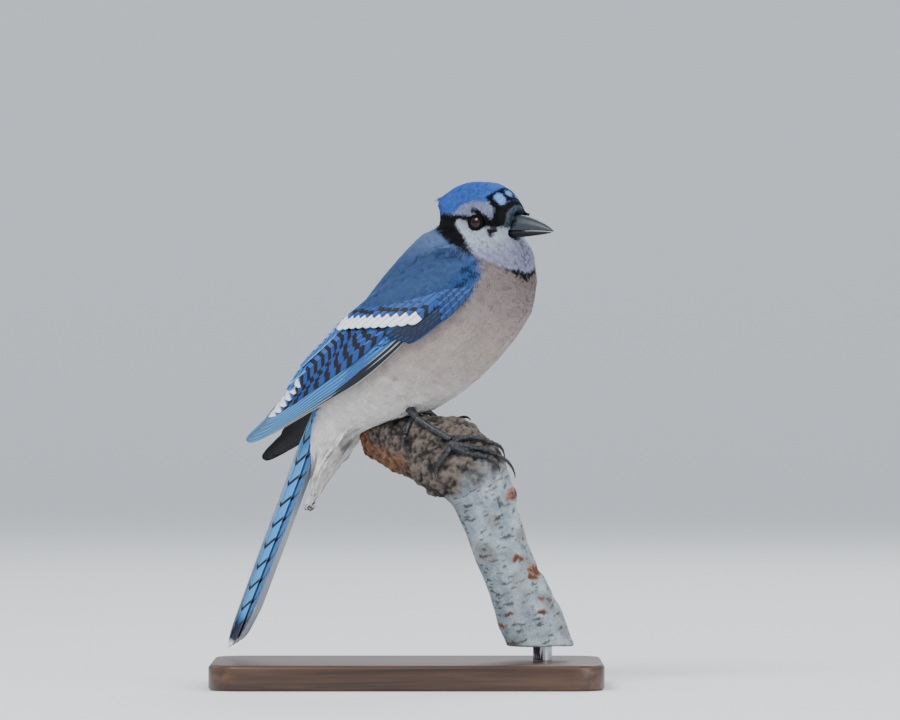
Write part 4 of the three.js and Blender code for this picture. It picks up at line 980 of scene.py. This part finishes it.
for side, is_left in (("right", False), ("left", True)):
    feather_set(f"wing_feathers_{side}", wing_feathers(), is_left, WING_MATERIALS, "wing_feathers",
                (f"wing_{side}",))

# Tail. Twelve long vanes, folded like a roof with the middle pair on top, azure with thin slanted black
# bars, a navy end and white tips and edges to the outer pairs.
TAIL_AT = np.array([-52.8, 0, 136.5])
TAIL_DIP = math.radians(69.2)
TAIL_LENGTH, OUTER_SHORTER = 127, 13
TAIL_PAIRS = 6
TAIL_HALF_WIDTH = 5.7
BARRED = dict(bars=12, bar_width=0.2, bar_slant=0.1, jitter=0.0, line="10284a", tip="eceff2",
              dusk=(0.84, 0.92, "0b1430"))
tail_vane = vane_material("tail vane", "52a8e6", "4596da", TAIL_LENGTH, tip_from=0.965, **BARRED)
tail_tipped = vane_material("white-tipped tail vane", "4596da", "2f70b4", TAIL_LENGTH, tip_from=0.955,
                            **BARRED)
tail_outer = vane_material("outer tail vane", "d3dae0", "3f78b4", TAIL_LENGTH, tip="eceff2", tip_from=0.9)
tail_under = vane_material("tail underside", "d0d6db", "b4bdc6", TAIL_LENGTH, roughness=0.6)
MIDDLE_VANE, TIPPED_VANE, OUTER_VANE = range(3)


def tail_feathers():
    """The vanes of the tail from the outer pair, which lies lowest, to the middle pair."""
    feathers = []
    way = np.array([-math.cos(TAIL_DIP), 0, -math.sin(TAIL_DIP)])
    top = np.array([-math.sin(TAIL_DIP), 0, math.cos(TAIL_DIP)])
    for i in reversed(range(TAIL_PAIRS)):
        for side in (-1, 1):
            t = i / (TAIL_PAIRS - 1)
            fold = min(1.0, 3 * t + (0.8 if side < 0 else 0))
            long = TAIL_LENGTH - OUTER_SHORTER * t ** 1.5
            layer = -0.42 * (i - (0.6 if side > 0 else 0)) + 0.5
            outwards = np.array([0, side, 0])

            def place(s):
                tilt = np.radians(mix(6, mix(62, 40, s), fold))[:, None]
                across = outwards * np.cos(tilt) - top * np.sin(tilt)
                out = outwards * np.sin(tilt) + top * np.cos(tilt)
                s = s[:, None]
                point = TAIL_AT + way * s * long + across * (mix(2.4, 2.7, s) + mix(1.5, 1.8, s) * t)
                return point + out * layer, out

            half = TAIL_HALF_WIDTH * mix(1, 0.84, t)
            grid, faces, on_top, tv = feather_grid(place, half, tip=0.1, steps=60, camber=0.6)
            if side > 0:
                tv = tv * np.array([1, -1]) + np.array([0, 1])
            material = MIDDLE_VANE if i == 0 else OUTER_VANE if i == TAIL_PAIRS - 1 else TIPPED_VANE
            feathers.append((grid, faces, on_top, tv, material))
    return feathers


feather_set("tail_feathers", tail_feathers(), False, [tail_vane, tail_tipped, tail_outer, tail_under],
            "tail_feathers", ("tail",))

# Bill. Two sheaths of dark horn, slate above and nearly black below, grown over bone. The horn is close
# and hard, so it is smooth and slightly glossy, with a faint cloudiness.
HORN_CLOUDS = 0.35  # in one mm
BILL_VOXEL, BILL_ROUNDING = 0.3 * MM, 14


def horn_material(name, dark, pale):
    horn = new_material(name, Roughness=0.42, IOR=1.54, Specular_IOR_Level=0.35)
    horn_coords = node(horn, "TexCoord").outputs["Object"]
    horn_noise = node(horn, "TexNoise", Vector=horn_coords, Scale=HORN_CLOUDS / MM, Detail=3.0)
    horn_ramp = node(horn, "ValToRGB", Fac=horn_noise.outputs["Fac"])
    horn_ramp.color_ramp.elements[0].color = linear(dark)
    horn_ramp.color_ramp.elements[1].color = linear(pale)
    link(horn, horn_ramp.outputs[0], "Base Color")
    return horn


for name, dark, pale in (("bill_upper", "1a2127", "333f46"), ("bill_lower", "070809", "101316")):
    half_bill = copy_of(name)
    rounded(half_bill, BILL_VOXEL, BILL_ROUNDING)
    placed_piece(half_bill, f"{name}_sheath", horn_material(f"{name} horn", dark, pale), "bill_horn", name)

# Eyes. Wet globes with a dark red-brown iris round a black pupil, each set in a ring of small bare black
# lids. The wet film makes them very smooth, so they catch one clear highlight.
LID_RADIUS, LID_THICKNESS, LID_AHEAD = 3.1 * MM, 0.85 * MM, 2.85 * MM
GAZE_AHEAD, GAZE_UP = 0.22, 0.02
# Cosines of the angle off the gaze between which the pupil ends
PUPIL_EDGE = (0.9, 0.95)
globe = new_material("wet eye", Roughness=0.05, IOR=1.36, Specular_IOR_Level=0.4, Coat_Weight=0.25)
globe_paint = node(globe, "Attribute", {"attribute_name": "Iris"}).outputs["Color"]
link(globe, globe_paint, "Base Color")
lid_skin = new_material("eyelid skin", Roughness=0.7, Specular_IOR_Level=0.1, Base_Color=linear("050506"))
for name, side in (("right", -1), ("left", 1)):
    low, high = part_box(f"eye_{name}")
    centre = (low + high) / 2
    radius = (high.z - low.z) / 2
    gaze = head_to_bird(np.array([[GAZE_AHEAD, side * 1.0, GAZE_UP]])) - HEAD_AT
    gaze = Vector((gaze @ turn(-BODY_YAW).T)[0]).normalized()
    bpy.ops.object.select_all(action="DESELECT")
    bpy.ops.mesh.primitive_uv_sphere_add(segments=48, ring_count=32, radius=radius, location=centre)
    ball = bpy.context.object
    bpy.ops.object.transform_apply(location=True, rotation=True, scale=True)
    bpy.ops.object.shade_smooth()
    around_gaze = (points_of(ball) - np.array(centre)) @ np.array(gaze) / radius
    paint(ball, "Iris", blend(rgb("2a0c14"), rgb("040203"), smooth_step(*PUPIL_EDGE, around_gaze)))
    placed_piece(ball, f"eyeball_{name}", globe, "eye", f"eye_{name}")
    bpy.ops.object.select_all(action="DESELECT")
    facing = gaze.to_track_quat("Z", "Y")
    bpy.ops.mesh.primitive_torus_add(major_segments=40, minor_segments=10, major_radius=LID_RADIUS,
                                     minor_radius=LID_THICKNESS, location=centre + gaze * LID_AHEAD,
                                     rotation=facing.to_euler())
    ring = bpy.context.object
    bpy.ops.object.transform_apply(location=True, rotation=True, scale=True)
    bpy.ops.object.shade_smooth()
    placed_piece(ring, f"eyelid_{name}", lid_skin, "scaled_skin")

# Legs, toes and claws. Dark skin over bone, in small hard scales with a dull sheen, and claws of smooth
# black horn. The scales are drawn coarser than the real ones, so that they show.
SCALES = 0.9  # in one mm
SCALE_BUMP = 0.2 * MM
LIMB_VOXEL, CLAW_VOXEL = 0.3 * MM, 0.18 * MM
scales = new_material("leg scales", Roughness=0.5, IOR=1.5)
scale_coords = node(scales, "TexCoord").outputs["Object"]
scale_cells = node(scales, "TexVoronoi", Vector=scale_coords, Scale=SCALES / MM).outputs["Distance"]
scale_ramp = node(scales, "ValToRGB", Fac=scale_cells)
scale_ramp.color_ramp.elements[0].color = linear("3a3f46")
scale_ramp.color_ramp.elements[1].color = linear("0e1012")
scale_ramp.color_ramp.elements[1].position = 0.7
scale_bump = node(scales, "Bump", Height=scale_cells, Strength=0.5, Distance=-SCALE_BUMP)
link(scales, scale_ramp.outputs[0], "Base Color")
link(scales, scale_bump.outputs[0], "Normal")
claw_horn = new_material("claw horn", Roughness=0.3, IOR=1.54, Base_Color=linear("17181b"))
for side in ("right", "left"):
    for part in ("leg", "foot"):
        limb = copy_of(f"{part}_{side}")
        rounded(limb, LIMB_VOXEL, 4)
        placed_piece(limb, f"{part}_skin_{side}", scales, "scaled_skin", f"{part}_{side}")
    for number in range(1, 5):
        claw = copy_of(f"claw_{side}_{number}")
        rounded(claw, CLAW_VOXEL, 3)
        placed_piece(claw, f"claw_sheath_{side}_{number}", claw_horn, "claw_horn", f"claw_{side}_{number}")

# Studio. A pale floor that curves up all round, soft light from above and in front, and the camera at the
# photograph's place, level and far off, so that its framing holds.
FLOOR_RADIUS, COVE_RADIUS, COVE_STEPS = 4.2, 1.6, 10
plaster = new_material("painted studio floor", Roughness=0.9, Base_Color=linear("eceef0"))
bpy.ops.object.select_all(action="DESELECT")
bpy.ops.mesh.primitive_circle_add(vertices=96, radius=FLOOR_RADIUS, fill_type="NGON", location=(0, 0, 0))
cove = bpy.context.object
bpy.ops.object.mode_set(mode="EDIT")
bpy.ops.mesh.select_mode(type="EDGE")
bpy.ops.mesh.select_all(action="SELECT")
for step in range(COVE_STEPS):
    last, bend = [math.radians(90 * k / COVE_STEPS) for k in (step, step + 1)]
    rise = COVE_RADIUS * (math.cos(last) - math.cos(bend))
    bpy.ops.mesh.extrude_edges_move(TRANSFORM_OT_translate={"value": (0, 0, rise)})
    reach = [FLOOR_RADIUS + COVE_RADIUS * math.sin(angle) for angle in (last, bend)]
    bpy.ops.transform.resize(value=(reach[1] / reach[0], reach[1] / reach[0], 1))
bpy.ops.object.mode_set(mode="OBJECT")
bpy.ops.object.shade_smooth()
cove.name = "studio_floor"
cove.data.materials.append(plaster)


def soft_box(name, size, power, place, aim):
    """A round soft light that faces a point."""
    light = bpy.data.lights.new(name, "AREA")
    light.shape = "DISK"
    light.size = size
    light.energy = power
    lamp = bpy.data.objects.new(name, light)
    bpy.context.scene.collection.objects.link(lamp)
    lamp.location = place
    lamp.rotation_euler = (Vector(aim) - Vector(place)).to_track_quat("-Z", "Y").to_euler()


soft_box("key", 1.2, 58, (-0.9, -1.5, 1.9), (0, 0, 0.14))
soft_box("fill", 1.6, 24, (1.6, -1.2, 0.9), (0, 0, 0.14))
soft_box("rim", 1.0, 18, (0.5, 1.6, 1.6), (0, 0, 0.15))
world = bpy.data.worlds.new("studio air")
bpy.context.scene.world = world
world.use_nodes = True
world.node_tree.nodes["Background"].inputs["Color"].default_value = linear("dfe6ee")
world.node_tree.nodes["Background"].inputs["Strength"].default_value = 0.9

PIXEL = 0.47 * MM
FRAME_WIDTH, FRAME_HEIGHT = 900, 720
# The photograph's pixel at which the part's origin stands
ORIGIN_PIXEL = (407, 686)
DISTANCE = 3.0
SENSOR = 36
lens = bpy.data.cameras.new("photo camera")
lens.sensor_width = SENSOR
lens.lens = SENSOR * DISTANCE / (FRAME_WIDTH * PIXEL)
lens.clip_end = 50
camera = bpy.data.objects.new("photo camera", lens)
bpy.context.scene.collection.objects.link(camera)
aside, up = FRAME_WIDTH / 2 - ORIGIN_PIXEL[0], ORIGIN_PIXEL[1] - FRAME_HEIGHT / 2
camera.location = (aside * PIXEL, -DISTANCE, up * PIXEL)
camera.rotation_euler = (math.radians(90), 0, 0)
bpy.context.scene.camera = camera
